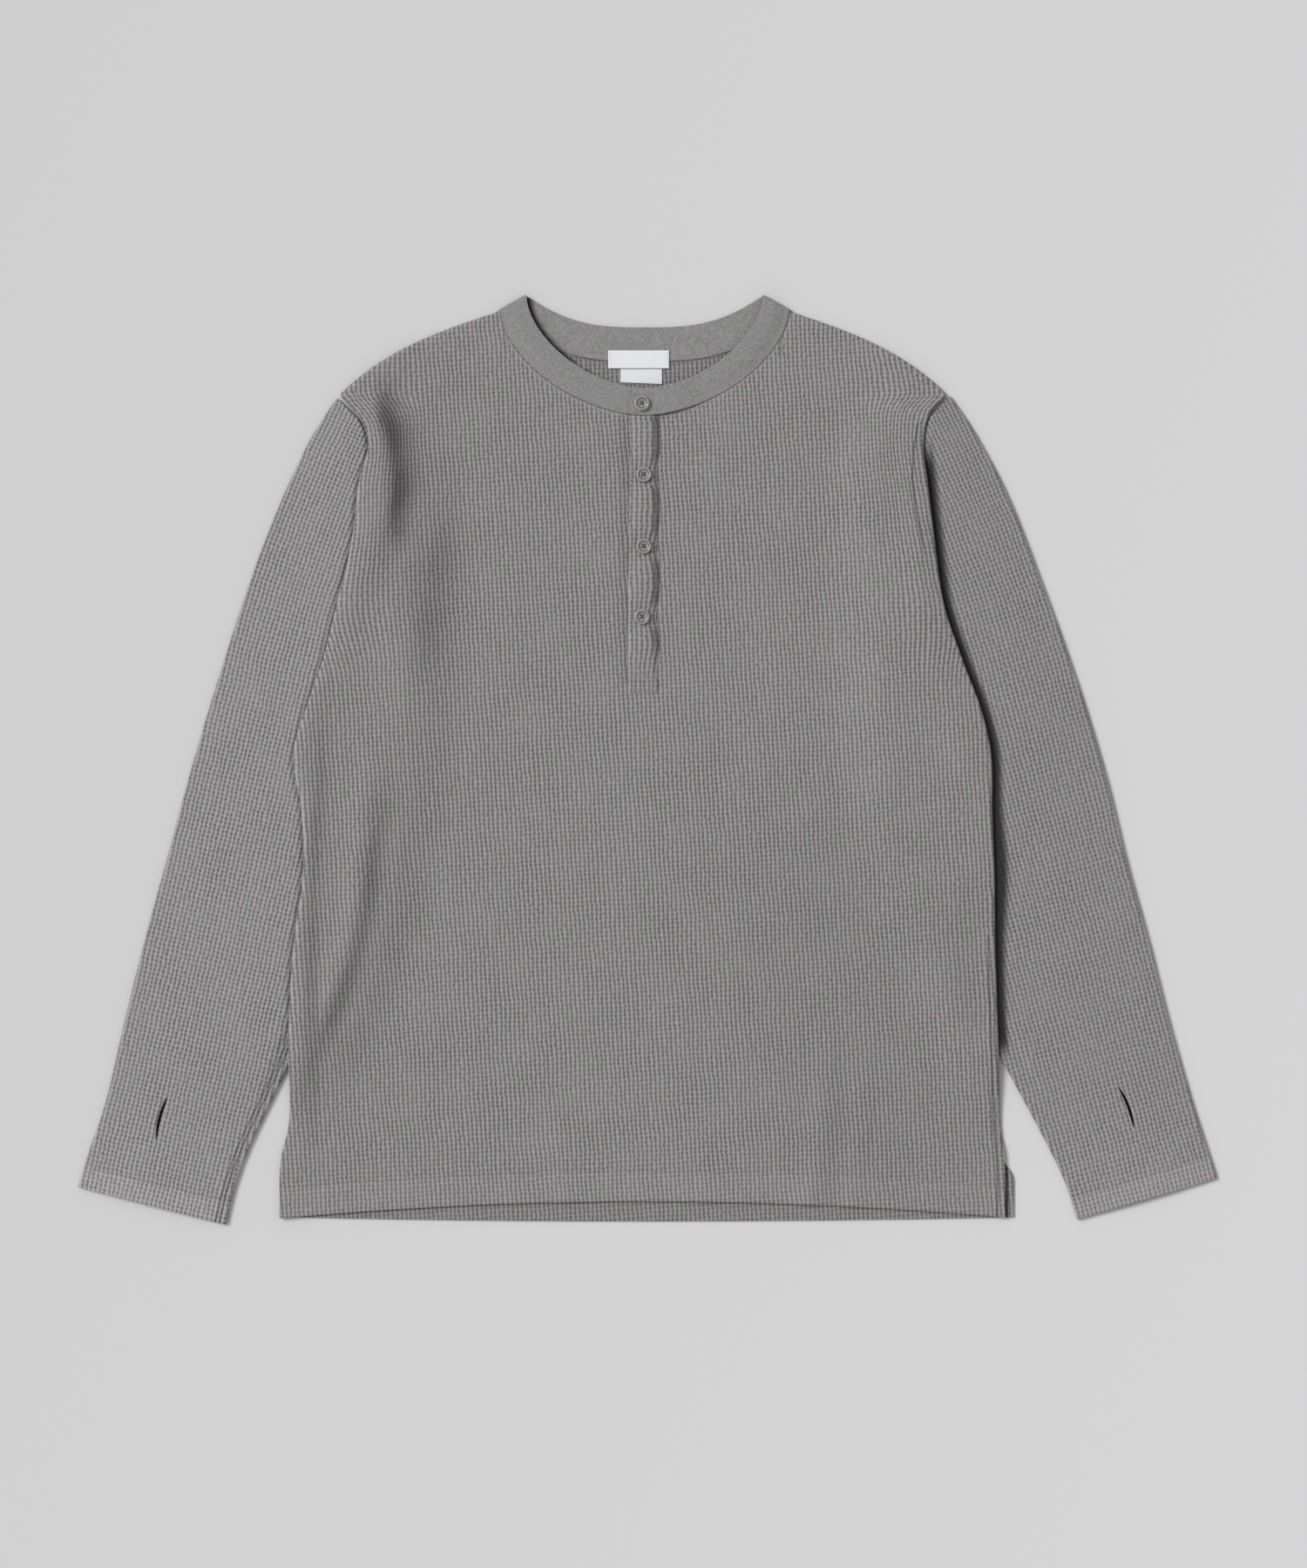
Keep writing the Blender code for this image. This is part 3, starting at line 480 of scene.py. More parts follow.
def waffle_knit(name, light, dark, contrast=0.84, furrow_share=0.40, hem_light=0.01):
    """Cotton waffle knit in grey melange: light wales with rows of dark, uneven pits between them.

    Each tile of the knit map holds one pit, an ellipse moved and deepened by chance. The pits' dark is
    painted shade, and the lighter wales between them are painted highlight. Mixed fibres give fine
    flecks and faint mauve and green tints. "shade" is painted shade, or painted light below 0, "cast"
    is the ramp of an edge's painted shadow, and "seam", "line" and "hem" are distances that draw the
    seams and hem.
    """
    made, add = new_material(name)
    place = add("UVMap", {}, uv_map="knit")
    spot = add("TexCoord", {}, out="Object")
    # rows and wales wander by about half a millimetre over some 4 cm
    drift = add("TexNoise", {"Vector": place, "Scale": 1 / 38.0, "Detail": 2.0}, out="Color")
    drift = add("VectorMath SUBTRACT", {0: drift, 1: (0.5, 0.5, 0.5)})
    drift = add("VectorMath SCALE", {0: drift, "Scale": 3.4})
    place = add("VectorMath ADD", {0: place, 1: drift})
    tile = add("VectorMath SCALE", {0: place, "Scale": 1 / TILE})
    whole = add("VectorMath FLOOR", {0: tile})
    chance = add("TexWhiteNoise", {"Vector": whole}, out=None, noise_dimensions="2D")
    shift = add("VectorMath SUBTRACT", {0: chance["Color"], 1: (0.5, 0.5, 0.5)})
    shift = add("VectorMath MULTIPLY", {0: shift, 1: (0.16, 0.22, 0.0)})
    inside = add("VectorMath FRACTION", {0: tile})
    inside = add("VectorMath SUBTRACT", {0: inside, 1: (0.5, 0.5, 0.0)})
    moved = add("VectorMath ADD", {0: inside, 1: shift})
    moved = add("VectorMath MULTIPLY", {0: moved, 1: (1.0, 0.86, 0.0)})
    moved = add("SeparateXYZ", {0: moved}, out=None)
    aside = add("Math ABSOLUTE", {0: moved["X"]})
    furrow = add("MapRange SMOOTHSTEP", {"Value": aside, 2: 0.45, 3: 1.0, 4: 0.0})
    above = add("Math ABSOLUTE", {0: moved["Y"]})
    pit = add("MapRange SMOOTHSTEP", {"Value": above, 1: 0.04, 2: 0.48, 3: 1.0, 4: 0.0})
    deep = add("MapRange", {"Value": chance["Value"], 3: 0.62, 4: 1.0})
    # patches where the knit is stretched flatter, so its pits close up
    patch = add("TexNoise", {"Vector": spot, "Scale": 30.0, "Detail": 3.0}, out=0)
    patch = add("MapRange", {"Value": patch, 1: 0.3, 2: 0.7, 3: 0.85, 4: 1.1})
    pit = add("Math MULTIPLY", {0: pit, 1: deep})
    pit = add("Math MULTIPLY_ADD", {0: pit, 1: 1 - furrow_share, 2: furrow_share})
    pit = add("Math MULTIPLY", {0: pit, 1: furrow})
    pit = add("Math MULTIPLY", {0: pit, 1: patch})
    wale = add("Math SUBTRACT", {0: 1.0, 1: furrow})
    words = ("seam", "hem", "shade", "cast", "line")
    seam, edge, shade, cast, drawn = (add("Attribute", {}, "Fac", attribute_name=word) for word in words)
    cast = add("MapRange SMOOTHSTEP", {"Value": cast, 3: 0.0, 4: 0.93})
    near = add("MapRange", {"Value": seam, 1: 0.3, 2: 3.4, 3: 0.35, 4: 1.0})
    pit = add("Math MULTIPLY", {0: pit, 1: near})
    doubled = add("MapRange", {"Value": edge, 1: HEM_DEPTH - 2, 2: HEM_DEPTH + 1, 3: 1.0, 4: 0.0})
    flatter = add("Math MULTIPLY_ADD", {0: doubled, 1: -0.10, 2: 1.0})
    pit = add("Math MULTIPLY", {0: pit, 1: flatter})
    drawn = add("Math ABSOLUTE", {0: drawn})
    row = add("Math SUBTRACT", {0: edge, 1: HEM_DEPTH})
    row = add("Math ABSOLUTE", {0: row})
    # the darkness of each line falls from its most at 0.3 mm to nothing at its width
    line = 0.0
    for gap, width, most in ((seam, 1.0, 0.36), (drawn, 1.2, 0.5), (row, 1.4, 0.06)):
        near = add("MapRange SMOOTHSTEP", {"Value": gap, 1: 0.3, 2: width, 3: most, 4: 0.0})
        line = add("Math MAXIMUM", {0: near, 1: line})
    # flecks of lighter and darker fibre, drawn out along the yarn
    fleck_place = add("VectorMath MULTIPLY", {0: place, 1: (1 / 0.9, 1 / 1.6, 0.0)})
    fleck = add("TexNoise", {"Vector": fleck_place, "Scale": 1.0, "Detail": 2.0}, out=0)
    fleck = add("MapRange", {"Value": fleck, 1: 0.25, 2: 0.75, 3: 0.86, 4: 1.14})
    tint = add("TexNoise", {"Vector": spot, "Scale": 160.0, "Detail": 3.0}, out=0)
    tint = add("MapRange", {"Value": tint, 1: 0.35, 2: 0.65})
    yarn = add("Mix", {0: tint, 6: linear(light[0]), 7: linear(light[1])}, out=2, data_type="RGBA")
    # painted highlight: the wales' ridges are lighter, most where they cross between the pits
    ridge_highlight = add("Math MULTIPLY", {0: above, 1: wale})
    bright = add("Math MULTIPLY_ADD", {0: wale, 1: 0.05, 2: 0.93})
    bright = add("Math MULTIPLY_ADD", {0: ridge_highlight, 1: 0.42, 2: bright})
    bright = add("Math MULTIPLY_ADD", {0: doubled, 1: hem_light, 2: bright})
    # below 0 the shade mark is painted light, which lightens the knit
    lighter = add("Math MINIMUM", {0: shade, 1: 0.0})
    bright = add("Math SUBTRACT", {0: bright, 1: lighter})
    bright = add("Math MULTIPLY", {0: bright, 1: fleck})
    lit = add("Mix MULTIPLY", {0: 1.0, 6: yarn, 7: bright}, out=2, data_type="RGBA")
    # painted shade: each pit is mixed towards the dark colour
    depth = add("Math MULTIPLY", {0: pit, 1: contrast}, use_clamp=True)
    cloth = add("Mix", {0: depth, 6: lit, 7: linear(dark)}, out=2, data_type="RGBA")
    # painted shade and painted shadow, together with the drawn seam lines, mixed towards near black
    shade = add("Math MAXIMUM", {0: shade, 1: line})
    shade = add("Math MAXIMUM", {0: shade, 1: cast})
    cloth = add("Mix", {0: shade, 6: cloth, 7: linear("#1c1b1c")}, out=2, data_type="RGBA")
    height = add("Math MULTIPLY", {0: wale, 1: 0.45})
    height = add("Math SUBTRACT", {0: height, 1: pit})
    height = add("Math SUBTRACT", {0: height, 1: line})
    cloth_finish(add, cloth, height, 0.95, 0.55, 0.7)
    return made


PLACKET_SLIT_END = 55.0
BODY_TURN = 3.5  # the degrees by which the knit leans on the body
body_knit = waffle_knit("cotton_waffle_knit_grey_melange", ("#938c90", "#8d8f8c"), "#423f41")
inner_knit = waffle_knit("cotton_waffle_knit_inside", ("#8b8589", "#868884"), "#383537")

across, _, x, y, *_ = panel_plan("back")
flare = smooth((VENT_TOP - 1.0 - y) / 20.0)
x = x - flare * (1 - across) ** 6 * (BACK_INSET + VENT_FLARE[0])
x = x + flare * across**6 * (BACK_INSET + VENT_FLARE[1])
spread = np.linspace(-1, 1, 400)
neck_gap = away(x, y, *back_seam(spread))
# painted shade on the back: a band along the neck seam, the slit at the left vent and, as "cast", the shadow
# of the front's free edge
vent_shadow = smooth((2.4 - abs(x - side_x("left", y) - 0.8)) / 1.2) * smooth((VENT_TOP - y) / 4.0)
marks = {
    "seam": neck_gap,
    "hem": y - hem(x, "back"),
    "shade": np.maximum(0.30 * smooth((3.5 - neck_gap) / 3.5), 0.9 * vent_shadow),
    "cast": under_edge(x, y),
}
points = np.stack([x, y, WALL / 2 + lift(x, y)], axis=-1)
back = cloth_piece("back_panel", points, marks, inner_knit, "back", "waffle_knit", BODY_TURN)


# ---- Front panel -----------------------------------------------------------------------------
# The front is cut from the same knit, slit down the middle for the placket. It turns down round the
# back at the sides and shoulders, and its soft creases run from the armholes and up from the hem.
PLACKET_EDGES = (-13.6, 7.8)  # free edge and sewn edge, at the neck seam
PLACKET_END, FOOT_PRESS = 48.0, 0.55  # the placket's foot, and how far it is pressed into the front
ARMHOLE_LEFT = (
    (221, 277),
    (208, 262),
    (201.5, 249),
    (198, 230),
    (197, 208),
    (199.5, 186),
    (205, 158),
)
ARMHOLE_TOP = 250.0  # above it the armhole's seam is the panel's own edge
FOLD_COLUMNS = "x0 y0 x1 y1 bow spread soft rise"
FRONT_FOLDS = (
    (-196, 262, -222, 110, -8, 11, 1, 2.2),
    (-190, 258, -191, 160, -8, 7.5, 1.5, -1.2),
    (-166, 170, -172, 60, 0, 20, 1, 1.4),
    (-150, 156, -163, 80, 4, 11, 1, -0.9),
    (-203, -66, -246, -216, -9, 8, 1, -1.2),
    (-212, -40, -238, -184, -9, 10, 1, 2.6),
    (-192, -80, -222, -200, -8, 13, 1, 1.4),
    (-244, -14, -248, -236, 3, 6, 1, -1),
    (-256, -60, -257, -200, 0, 6, 1, 1.2),
    (196, 240, 230, 30, 8, 12, 1, 1.6),
    (238, -110, 240, -190, 4, 14, 1, -0.6),
    (120, -330, 132, -240, 3, 9, 1, 1.3),
    (137, -330, 146, -250, 3, 7, 1, -0.6),
    (152, -325, 158, -250, 2, 9, 1, 0.9),
    (-60, -332, -66, -286, 2, 9, 1, 0.7),
    (44, -332, 40, -296, 2, 8, 1, 0.6),
)


def folds(x, y, rows):
    """Soft ridges and troughs: each is a bell across its bowed line, uneven along it and fading at its ends.

    Run from top to bottom, a line bows to the wearer's right, or left below 0. "soft" widens its bell
    to the wearer's left and narrows it to the right.
    """
    rise = np.zeros_like(x)
    for number, fold in enumerate(dict(zip(FOLD_COLUMNS.split(), row)) for row in rows):
        start = np.array([fold["x0"], fold["y0"]])
        run = np.array([fold["x1"], fold["y1"]]) - start
        length = np.hypot(*run)
        along = ((x - start[0]) * run[0] + (y - start[1]) * run[1]) / length
        aside = ((x - start[0]) * run[1] - (y - start[1]) * run[0]) / length
        share = np.clip(along / length, 0, 1)
        aside = aside - fold["bow"] * 4 * share * (1 - share)
        past = np.maximum(np.maximum(-along, along - length), 0)
        uneven = 1 + 0.12 * np.sin(2 * np.pi * along / (0.6 * length) + number * 1.7)
        spread = fold["spread"] * np.where(aside < 0, fold["soft"], 1 / fold["soft"])
        rise += fold["rise"] * uneven * np.exp(-((aside / spread) ** 2) - (past / (0.2 * length + 8)) ** 2)
    return rise


# as the folds, but each last number is a painted shade on the knit: darker, or painted light below 0
FRONT_FOLD_SHADES = (
    (-197, 254, -189, 180, -6, 8, 1.7, 0.66),
    (-182, 196, -176, 120, -2, 16, 1, 0.12),
    (-205, 252, -204, 170, -6, 3, 1, -0.09),
    (-152, 150, -162, 84, 3, 13, 1, 0.20),
    (-204, -70, -246, -214, -9, 7, 1.2, 0.34),
    (-243, -16, -248, -232, 3, 5, 1, 0.26),
    (238, -110, 240, -190, 4, 14, 1, 0.10),
    (137, -330, 146, -252, 3, 7, 1, 0.10),
    (140, -80, 190, -330, 10, 90, 1, 0.06),
    (225, 190, 214, 60, 6, 14, 1, 0.05),
)


def fold_shades(x, y, rows):
    """Painted shade along soft folds, and painted light below 0: a bell across each bowed line."""
    dark, light = np.zeros_like(x), np.zeros_like(x)
    for row in rows:
        one = row[7] * folds(x, y, (row[:7] + (1.0,),)).clip(0, 1)
        dark, light = np.maximum(dark, one), np.minimum(light, one)
    return dark + light


def front_height(x, y):
    """The front's mid height: its own layer, the rise over the sleeves, the folds and a slight unevenness."""
    own = folds(x, y, FRONT_FOLDS) + 0.22 * ripple(x, y, 46.0, 4) + 0.12 * ripple(x, y, 17.0, 5)
    return WALL / 2 + LAYER + lift(x, y) + np.maximum(own, -0.35)


def run_length(path):
    """The length along a path at each of its points."""
    return np.concatenate([[0], np.cumsum(np.linalg.norm(np.diff(path, axis=0), axis=1))])


def line_points(*turns):
    """Closely spaced points, a millimetre apart, along straight runs between the given turns."""
    turns = np.array(turns, float)
    along = run_length(turns)
    at = np.arange(0, along[-1], 1.0)
    return np.interp(at, along, turns[:, 0]), np.interp(at, along, turns[:, 1])


cuts = (np.array(PLACKET_EDGES) - NECK_X) / NECK_HALF
across, up, x, y, drop, columns, rows, slit_end = panel_plan("front", cuts)
edge_columns = NECK_FROM + (cuts + 1) / 2 * (NECK_TO - NECK_FROM)
first, last = RIM_COLUMNS + np.searchsorted(columns, edge_columns - 1e-9)
keep = np.ones((x.shape[0] - 1, x.shape[1] - 1), bool)
keep[np.searchsorted(rows, slit_end - 1e-9) :, first:last] = False
hem_gap = y - hem(x, "front")
folded_hem = 0.45 * smooth((HEM_DEPTH - 1.0 - hem_gap) / 2.5)
folded_hem = folded_hem - HEM_PRESS * np.exp(-(((hem_gap - HEM_DEPTH) / 2.0) ** 2))
foot = smooth((y - PLACKET_END + 4.0) / 4.0) * smooth((PLACKET_SLIT_END + 4.0 - y) / 4.0)
foot = foot * smooth((x - PLACKET_EDGES[0] + 4.0) / 4.0) * smooth((PLACKET_EDGES[1] + 4.0 - x) / 4.0)
z = front_height(x, y) - drop + folded_hem - FOOT_PRESS * foot
neck_gap = away(x, y, *front_seam(spread))
left_gap = (1 - across) * BODY_WIDTH
armhole_y, armhole_x = np.array(ARMHOLE_LEFT)[::-1, ::-1].T
armhole = away(x, y, *line_points(*ARMHOLE_LEFT)) * np.sign(x - np.interp(y, armhole_y, armhole_x))
armhole = armhole * (1 + 12 * smooth((y - ARMHOLE_TOP) / 8.0))
seam_side = np.where(y > 0.0, armhole, np.where(y < -130.0, left_gap - 5.5, FAR))
# painted shade on the front just beside the placket's free edge
strip_shade = smooth((PLACKET_EDGES[0] - x) / 2.0) * smooth((x - PLACKET_EDGES[0] + 9.0) / 7.0)
strip_shade = strip_shade * smooth((y - 50.0) / 8.0)
# painted highlight along the wearer's right side edge and at the left shoulder tip
edge_highlight = 0.15 * smooth((4.5 - across * BODY_WIDTH) / 3.0)
edge_highlight = edge_highlight * smooth((y + 230.0) / 30.0) * smooth((240.0 - y) / 20.0)
edge_highlight = edge_highlight + 0.22 * smooth((5.0 - left_gap) / 3.0) * smooth((y - 232.0) / 14.0)
# painted shade: the fold shades, beside the strip and along the hem's very edge
painted_shade = [fold_shades(x, y, FRONT_FOLD_SHADES), 0.22 * strip_shade, 0.16 * smooth((1.5 - hem_gap) / 1.5)]
marks = {
    "knit_x": bent_wales(x, y, across),
    "seam": neck_gap,
    "line": seam_side,
    "hem": hem_gap,
    "shade": np.maximum.reduce(painted_shade) - edge_highlight,
}
points = np.stack([x, y, z], axis=-1)
front = cloth_piece("front_panel", points, marks, body_knit, "front", "waffle_knit", BODY_TURN, keep)


# ---- Placket ---------------------------------------------------------------------------------
# Two strips of the same knit fill the front slit. The upper one laps over, is sewn down along its
# left edge and boxed at its foot, and puckers between the buttons.
PUCKER = 2.4  # the upper strip's bulge between two buttons
SUNK = 3.2  # the button side stops short of the sewn edge
FOOT_SINK = 1.8
FOOT_END = 0.9  # the foot's own edge sinks into the front's face
FOOT_ROWS = (60.5, 49.5)  # the two stitch rows across the foot
BUTTON_SPOTS = ((-4.0, 264.5), (-2.6, 211.5), (-2.6, 158.0), (-3.9, 105.5))


def strip_points(x_from, x_to, y_from, rise, columns, rows):
    """A placket strip: the front's own plan between two columns of it, moved up by rise."""
    tau = (np.linspace(x_from, x_to, columns) - NECK_X) / NECK_HALF
    across = NECK_FROM + (tau + 1) / 2 * (NECK_TO - NECK_FROM)
    y = y_from + np.linspace(0, 1, rows)[:, None] * (front_seam(tau)[1] - SEAM - y_from)
    hem_y = hem(across * 0, "front")
    up = (y - hem_y) / (front_seam(tau)[1] - SEAM / 2 - hem_y)
    x, _ = body_plan(np.broadcast_to(across, up.shape), up, "front")
    return x, y, np.full_like(x, WALL / 2 + LAYER + rise)


def pinch(y):
    """1 at the height of each button and 0 half way between them."""
    return np.max([np.exp(-(((y - spot) / 12.0) ** 2)) for _, spot in BUTTON_SPOTS], axis=0)


def foot_sink(y):
    """How far the upper strip's foot sinks towards the front, below the slit's end."""
    return FOOT_SINK * (1 - smooth((y - PLACKET_SLIT_END) / 9.0))


x, y, z = strip_points(PLACKET_EDGES[0] + SEAM, PLACKET_EDGES[1] - SUNK, PLACKET_SLIT_END + 1.0, 0.0, 8, 60)
points, marks = np.stack([x, y, z], axis=-1), {"seam": FAR, "shade": 0.0}
under = cloth_piece("placket_under_strip", points, marks, inner_knit, "placket_under", "waffle_knit")

x, y, z = strip_points(*PLACKET_EDGES, PLACKET_END, WALL + 0.4, 17, 120)
share = (x - x[:, :1]) / (x[:, -1:] - x[:, :1])
between = 1 - pinch(y)
above = smooth((y - 60.0) / 36.0)
knit_x = x - 2.6 * between * share * above
x = x + share**2 * (1.2 * between - 0.5 * pinch(y)) * above
bulge = PUCKER * between * np.sin(np.pi * share.clip(0, 0.97)) ** 0.7
fall = (2.2 - 0.3 * between) * smooth((share - 0.80) / 0.20) * smooth((y - PLACKET_SLIT_END - 2.0) / 6.0)
ridge = 0.35 * np.exp(-(((share - 0.05) / 0.09) ** 2))
z = z + above * (bulge + ridge) - fall - foot_sink(y)
z = z - FOOT_END * (1 - smooth((y - PLACKET_END) / 4.0))
foot_gap = np.minimum(*(np.abs(y - row) for row in FOOT_ROWS))
strip_edge = np.minimum(share, 1 - share) * (PLACKET_EDGES[1] - PLACKET_EDGES[0])
# painted shade in the puckers between the buttons and faintly along both edges; painted highlight (lit) along
# the free edge
pucker_shade = np.exp(-(((share - 0.60 - 0.34 * between**0.6) / (0.06 + 0.05 * between)) ** 2))
pucker_shade = pucker_shade * smooth(1.5 * between - 0.1) * above
lit = 0.08 * smooth((0.16 - share) / 0.1)
marks = {
    "knit_x": knit_x,
    "seam": np.where(y < 63.0, foot_gap + 0.75, FAR),
    "shade": np.maximum(0.44 * pucker_shade, 0.06 * smooth((1.2 - strip_edge) / 1.2)) - lit,
}
points = np.stack([x, y, z], axis=-1)
upper = cloth_piece("placket_upper_strip", points, marks, body_knit, "placket_upper", "waffle_knit")


# ---- Neckband --------------------------------------------------------------------------------
# One strip of fine rib, folded double and sewn on with its ends lapped over the placket. It stands
# up from the seam, turns over at each neck point and shows its inside across the back.
BAND_WALL = 2.4
BAND_BACK_DROP = 23.0
BAND_FOLD = 2.1
RIB = 1.5  # the rib's repeat along the band
SEAM_LEVEL = WALL / 2 + LAYER  # the band's sewn edge lies level with the front


def back_free(tau):
    """The back's free edge: a dip that flattens to the neck points."""
    return NECK_X + BAND_HALF * tau, BAND_Y - BAND_BACK_DROP * (1 - np.abs(tau) ** 3) ** 1.15


def band_turn(side):
    """The half turn at a neck point, about the line from the seam's end to the free edge's end."""
    seam = np.array([NECK_X + side * NECK_HALF, NECK_Y])
    free = np.array([NECK_X + side * BAND_HALF, BAND_Y])
    along = (free - seam) / np.hypot(*(free - seam))
    out = np.array([along[1], -along[0]]) * np.sign(-along[0])
    angle = np.radians(np.linspace(90, -90, 13) if side < 0 else np.linspace(-90, 90, 13))[:, None]
    level = BAND_WALL / 2 + BAND_FOLD * (1 + np.sin(angle))
    seam_level = BAND_WALL / 2 + (SEAM_LEVEL - BAND_WALL / 2) * (1 + np.sin(angle)) / 2
    push = -out * BAND_FOLD * np.cos(angle)
    return np.hstack([seam + 0 * angle, free + 0 * angle, level, seam_level, push])


def band_stations():
    """Stations once round the band: seam edge, free edge, their heights and the fold's outward push.

    It starts under the front's middle, runs to the right neck point, turns over, crosses the back,
    turns over again and ends on top of its own start.
    """
    taus = np.sin(np.linspace(-np.pi / 2, np.pi / 2, 101))
    low = WALL + AIR + BAND_WALL / 2
    peak = BAND_WALL / 2 + 2 * BAND_FOLD
    start, end = ((np.array(PLACKET_EDGES)[::-1] - NECK_X) / NECK_HALF) + (-0.006, 0.0)
    first = np.concatenate([[start], taus[(taus < start - 0.01) & (taus > -0.9999)][::-1]])
    last = np.concatenate([taus[(taus > end + 0.01) & (taus < 0.9999)][::-1], [end]])
    height = low + (peak - low) * smooth((abs(first) - 0.3) / 0.6)
    over = (BAND_WALL + 0.3) * smooth((0.5 - last) / 0.36)
    climb = low + (peak - low) * smooth((last - 0.3) / 0.6) + over
    across = taus[1:-1]
    on_table = np.full(len(across), BAND_WALL / 2)

    def rows(seam, free, tau, level, seam_level):
        return np.column_stack([*seam(tau), *free(tau), level, seam_level, 0 * tau, 0 * tau])

    return np.concatenate(
        [
            rows(front_seam, front_free, first, height, SEAM_LEVEL + 0 * first),
            band_turn(-1),
            rows(back_seam, back_free, across, on_table, on_table),
            band_turn(1),
            rows(front_seam, front_free, last, climb, SEAM_LEVEL + 0.85 * over),
        ]
    )


def fine_rib(name, light, dark):
    """Fine cotton rib in grey melange: close soft ribs across the strip, and a mottle of mixed fibres."""
    made, add = new_material(name)
    place = add("UVMap", {}, uv_map="knit")
    spot = add("TexCoord", {}, out="Object")
    place = add("SeparateXYZ", {0: place}, out=None)
    rib = add("Math MULTIPLY", {0: place["X"], 1: 2 * np.pi / RIB})
    rib = add("Math SINE", {0: rib})
    mottle = add("TexNoise", {"Vector": spot, "Scale": 620.0, "Detail": 3.0, "Roughness": 0.6}, out=0)
    mottle = add("MapRange", {"Value": mottle, 1: 0.3, 2: 0.7, 3: 0.74, 4: 1.24})
    cloud = add("TexNoise", {"Vector": spot, "Scale": 150.0, "Detail": 3.0}, out=0)
    cloud = add("MapRange", {"Value": cloud, 1: 0.35, 2: 0.65})
    yarn = add("Mix", {0: cloud, 6: linear(light[0]), 7: linear(light[1])}, out=2, data_type="RGBA")
    bright = add("Math MULTIPLY_ADD", {0: rib, 1: 0.05, 2: 1.0})
    bright = add("Math MULTIPLY", {0: bright, 1: mottle})
    cloth = add("Mix MULTIPLY", {0: 1.0, 6: yarn, 7: bright}, out=2, data_type="RGBA")
    # painted shadow of the front's free edge, from "cast", and the seam line, both mixed towards near black
    shade = add("Attribute", {}, "Fac", attribute_name="cast")
    shade = add("MapRange SMOOTHSTEP", {"Value": shade, 3: 0.0, 4: 0.93})
    seam = add("Attribute", {}, "Fac", attribute_name="seam")
    line = add("MapRange SMOOTHSTEP", {"Value": seam, 1: 0.2, 2: 0.9, 3: 0.30, 4: 0.0})
    shade = add("Math MAXIMUM", {0: shade, 1: line})
    cloth = add("Mix", {0: shade, 6: cloth, 7: linear(dark)}, out=2, data_type="RGBA")
    height = add("Math MULTIPLY_ADD", {0: rib, 1: 0.3, 2: mottle})
    height = add("Math SUBTRACT", {0: height, 1: line})
    cloth_finish(add, cloth, height, 0.93, 0.35, 0.35)
    return made


band_knit = fine_rib("cotton_fine_rib_grey_melange", ("#868285", "#828481"), "#141314")
stations = band_stations()
share = np.linspace(0, 1, 13)[:, None]
seam_line, free_line, push = stations[:, 0:2], stations[:, 2:4], stations[:, 6:8]
bow = (0.15 * share + 3.0 * share * (1 - share))[..., None] * push
plan = seam_line + share[..., None] * (free_line - seam_line) + bow
height = stations[:, 5] + (stations[:, 4] - stations[:, 5]) * smooth(share / 0.6)
width = np.linalg.norm(free_line - seam_line, axis=1)
length = run_length(plan[6])  # along the band's middle line
on_back = np.abs(stations[:, 4] - BAND_WALL / 2) < 0.01
left = length[-1] - length
end_row = np.where(left < 20.0, abs(left - 3.0) + 0.5, FAR)
marks = {
    "knit_x": np.broadcast_to(length, plan.shape[:2]),
    "knit_y": share * width,
    "seam": np.minimum(share * width, end_row),
    # painted shadow of the front's free edge on the band's back part
    "cast": np.where(on_back, under_edge(plan[..., 0], plan[..., 1]), -1.0),
}
points = np.concatenate([plan, height[..., None]], axis=-1)
look = {"wall": BAND_WALL, "rounding": 0.25}
neckband = cloth_piece("neck_band", points, marks, band_knit, "neckband", "neckband_rib", **look)


# ---- Sleeves ---------------------------------------------------------------------------------
# Each sleeve is one tube of waffle knit, folded flat, with its seam under the arm, a stitched cuff
# hem and a slit for the thumb. Its upper part lies under the body, full where it meets the side.
ARMPIT = 8.0
PUFF_NEAR = {"right": 3.4, "left": 4.2}
TIP_RISE = 2.6  # the sleeve head rises to the body's edge, where the two are sewn
PUFF_MID = 1.4
SLEEVE_TURN = {"right": -13.0, "left": 14.5}  # the grain leans along the sleeve, and more towards its head
GRAIN_FROM, GRAIN_RADIUS = 60.0, 850.0
SLITS = {"right": (-361.5, -268.0, 15.0), "left": (357.0, -260.5, -20.0)}
SLIT_LENGTH, SLIT_WIDTH, SLIT_BOW = 32.0, 2.2, 1.6
SLIT_CUT = (2.2, 14.0)  # the cut runs from the sleeve's hollow up through its top layer
CUFF_DEPTH = 17.0
CUFF_STATION = 14  # the ring of the mesh that lies CUFF_DEPTH from the cuff's edge
TOP_COLUMNS = (28, 9, 7)  # of the mesh's top layer: flat, rising to the body's edge, and on under it
GAP_WIDTH, GAP_SHADE = 9.5, 0.95  # the strip of the left sleeve beside the body, darkened as painted shadow of the body's edge
UNDERARM_IN = 6.5  # the seam under the right arm shows this far inside the folded edge
CUFF_LIGHT = 0.05
SLEEVE_FOLDS = {
    "right": (
        (-352, 20, -306, 26, 4, 13, 1, 0.7),
        (-330, -70, -282, -40, 4, 15, 1, 0.8),
    ),
    "left": (
        (338, 10, 288, 40, 4, 14, 1, 0.8),
        (300, -150, 352, -128, 4, 16, 1, 0.7),
    ),
}


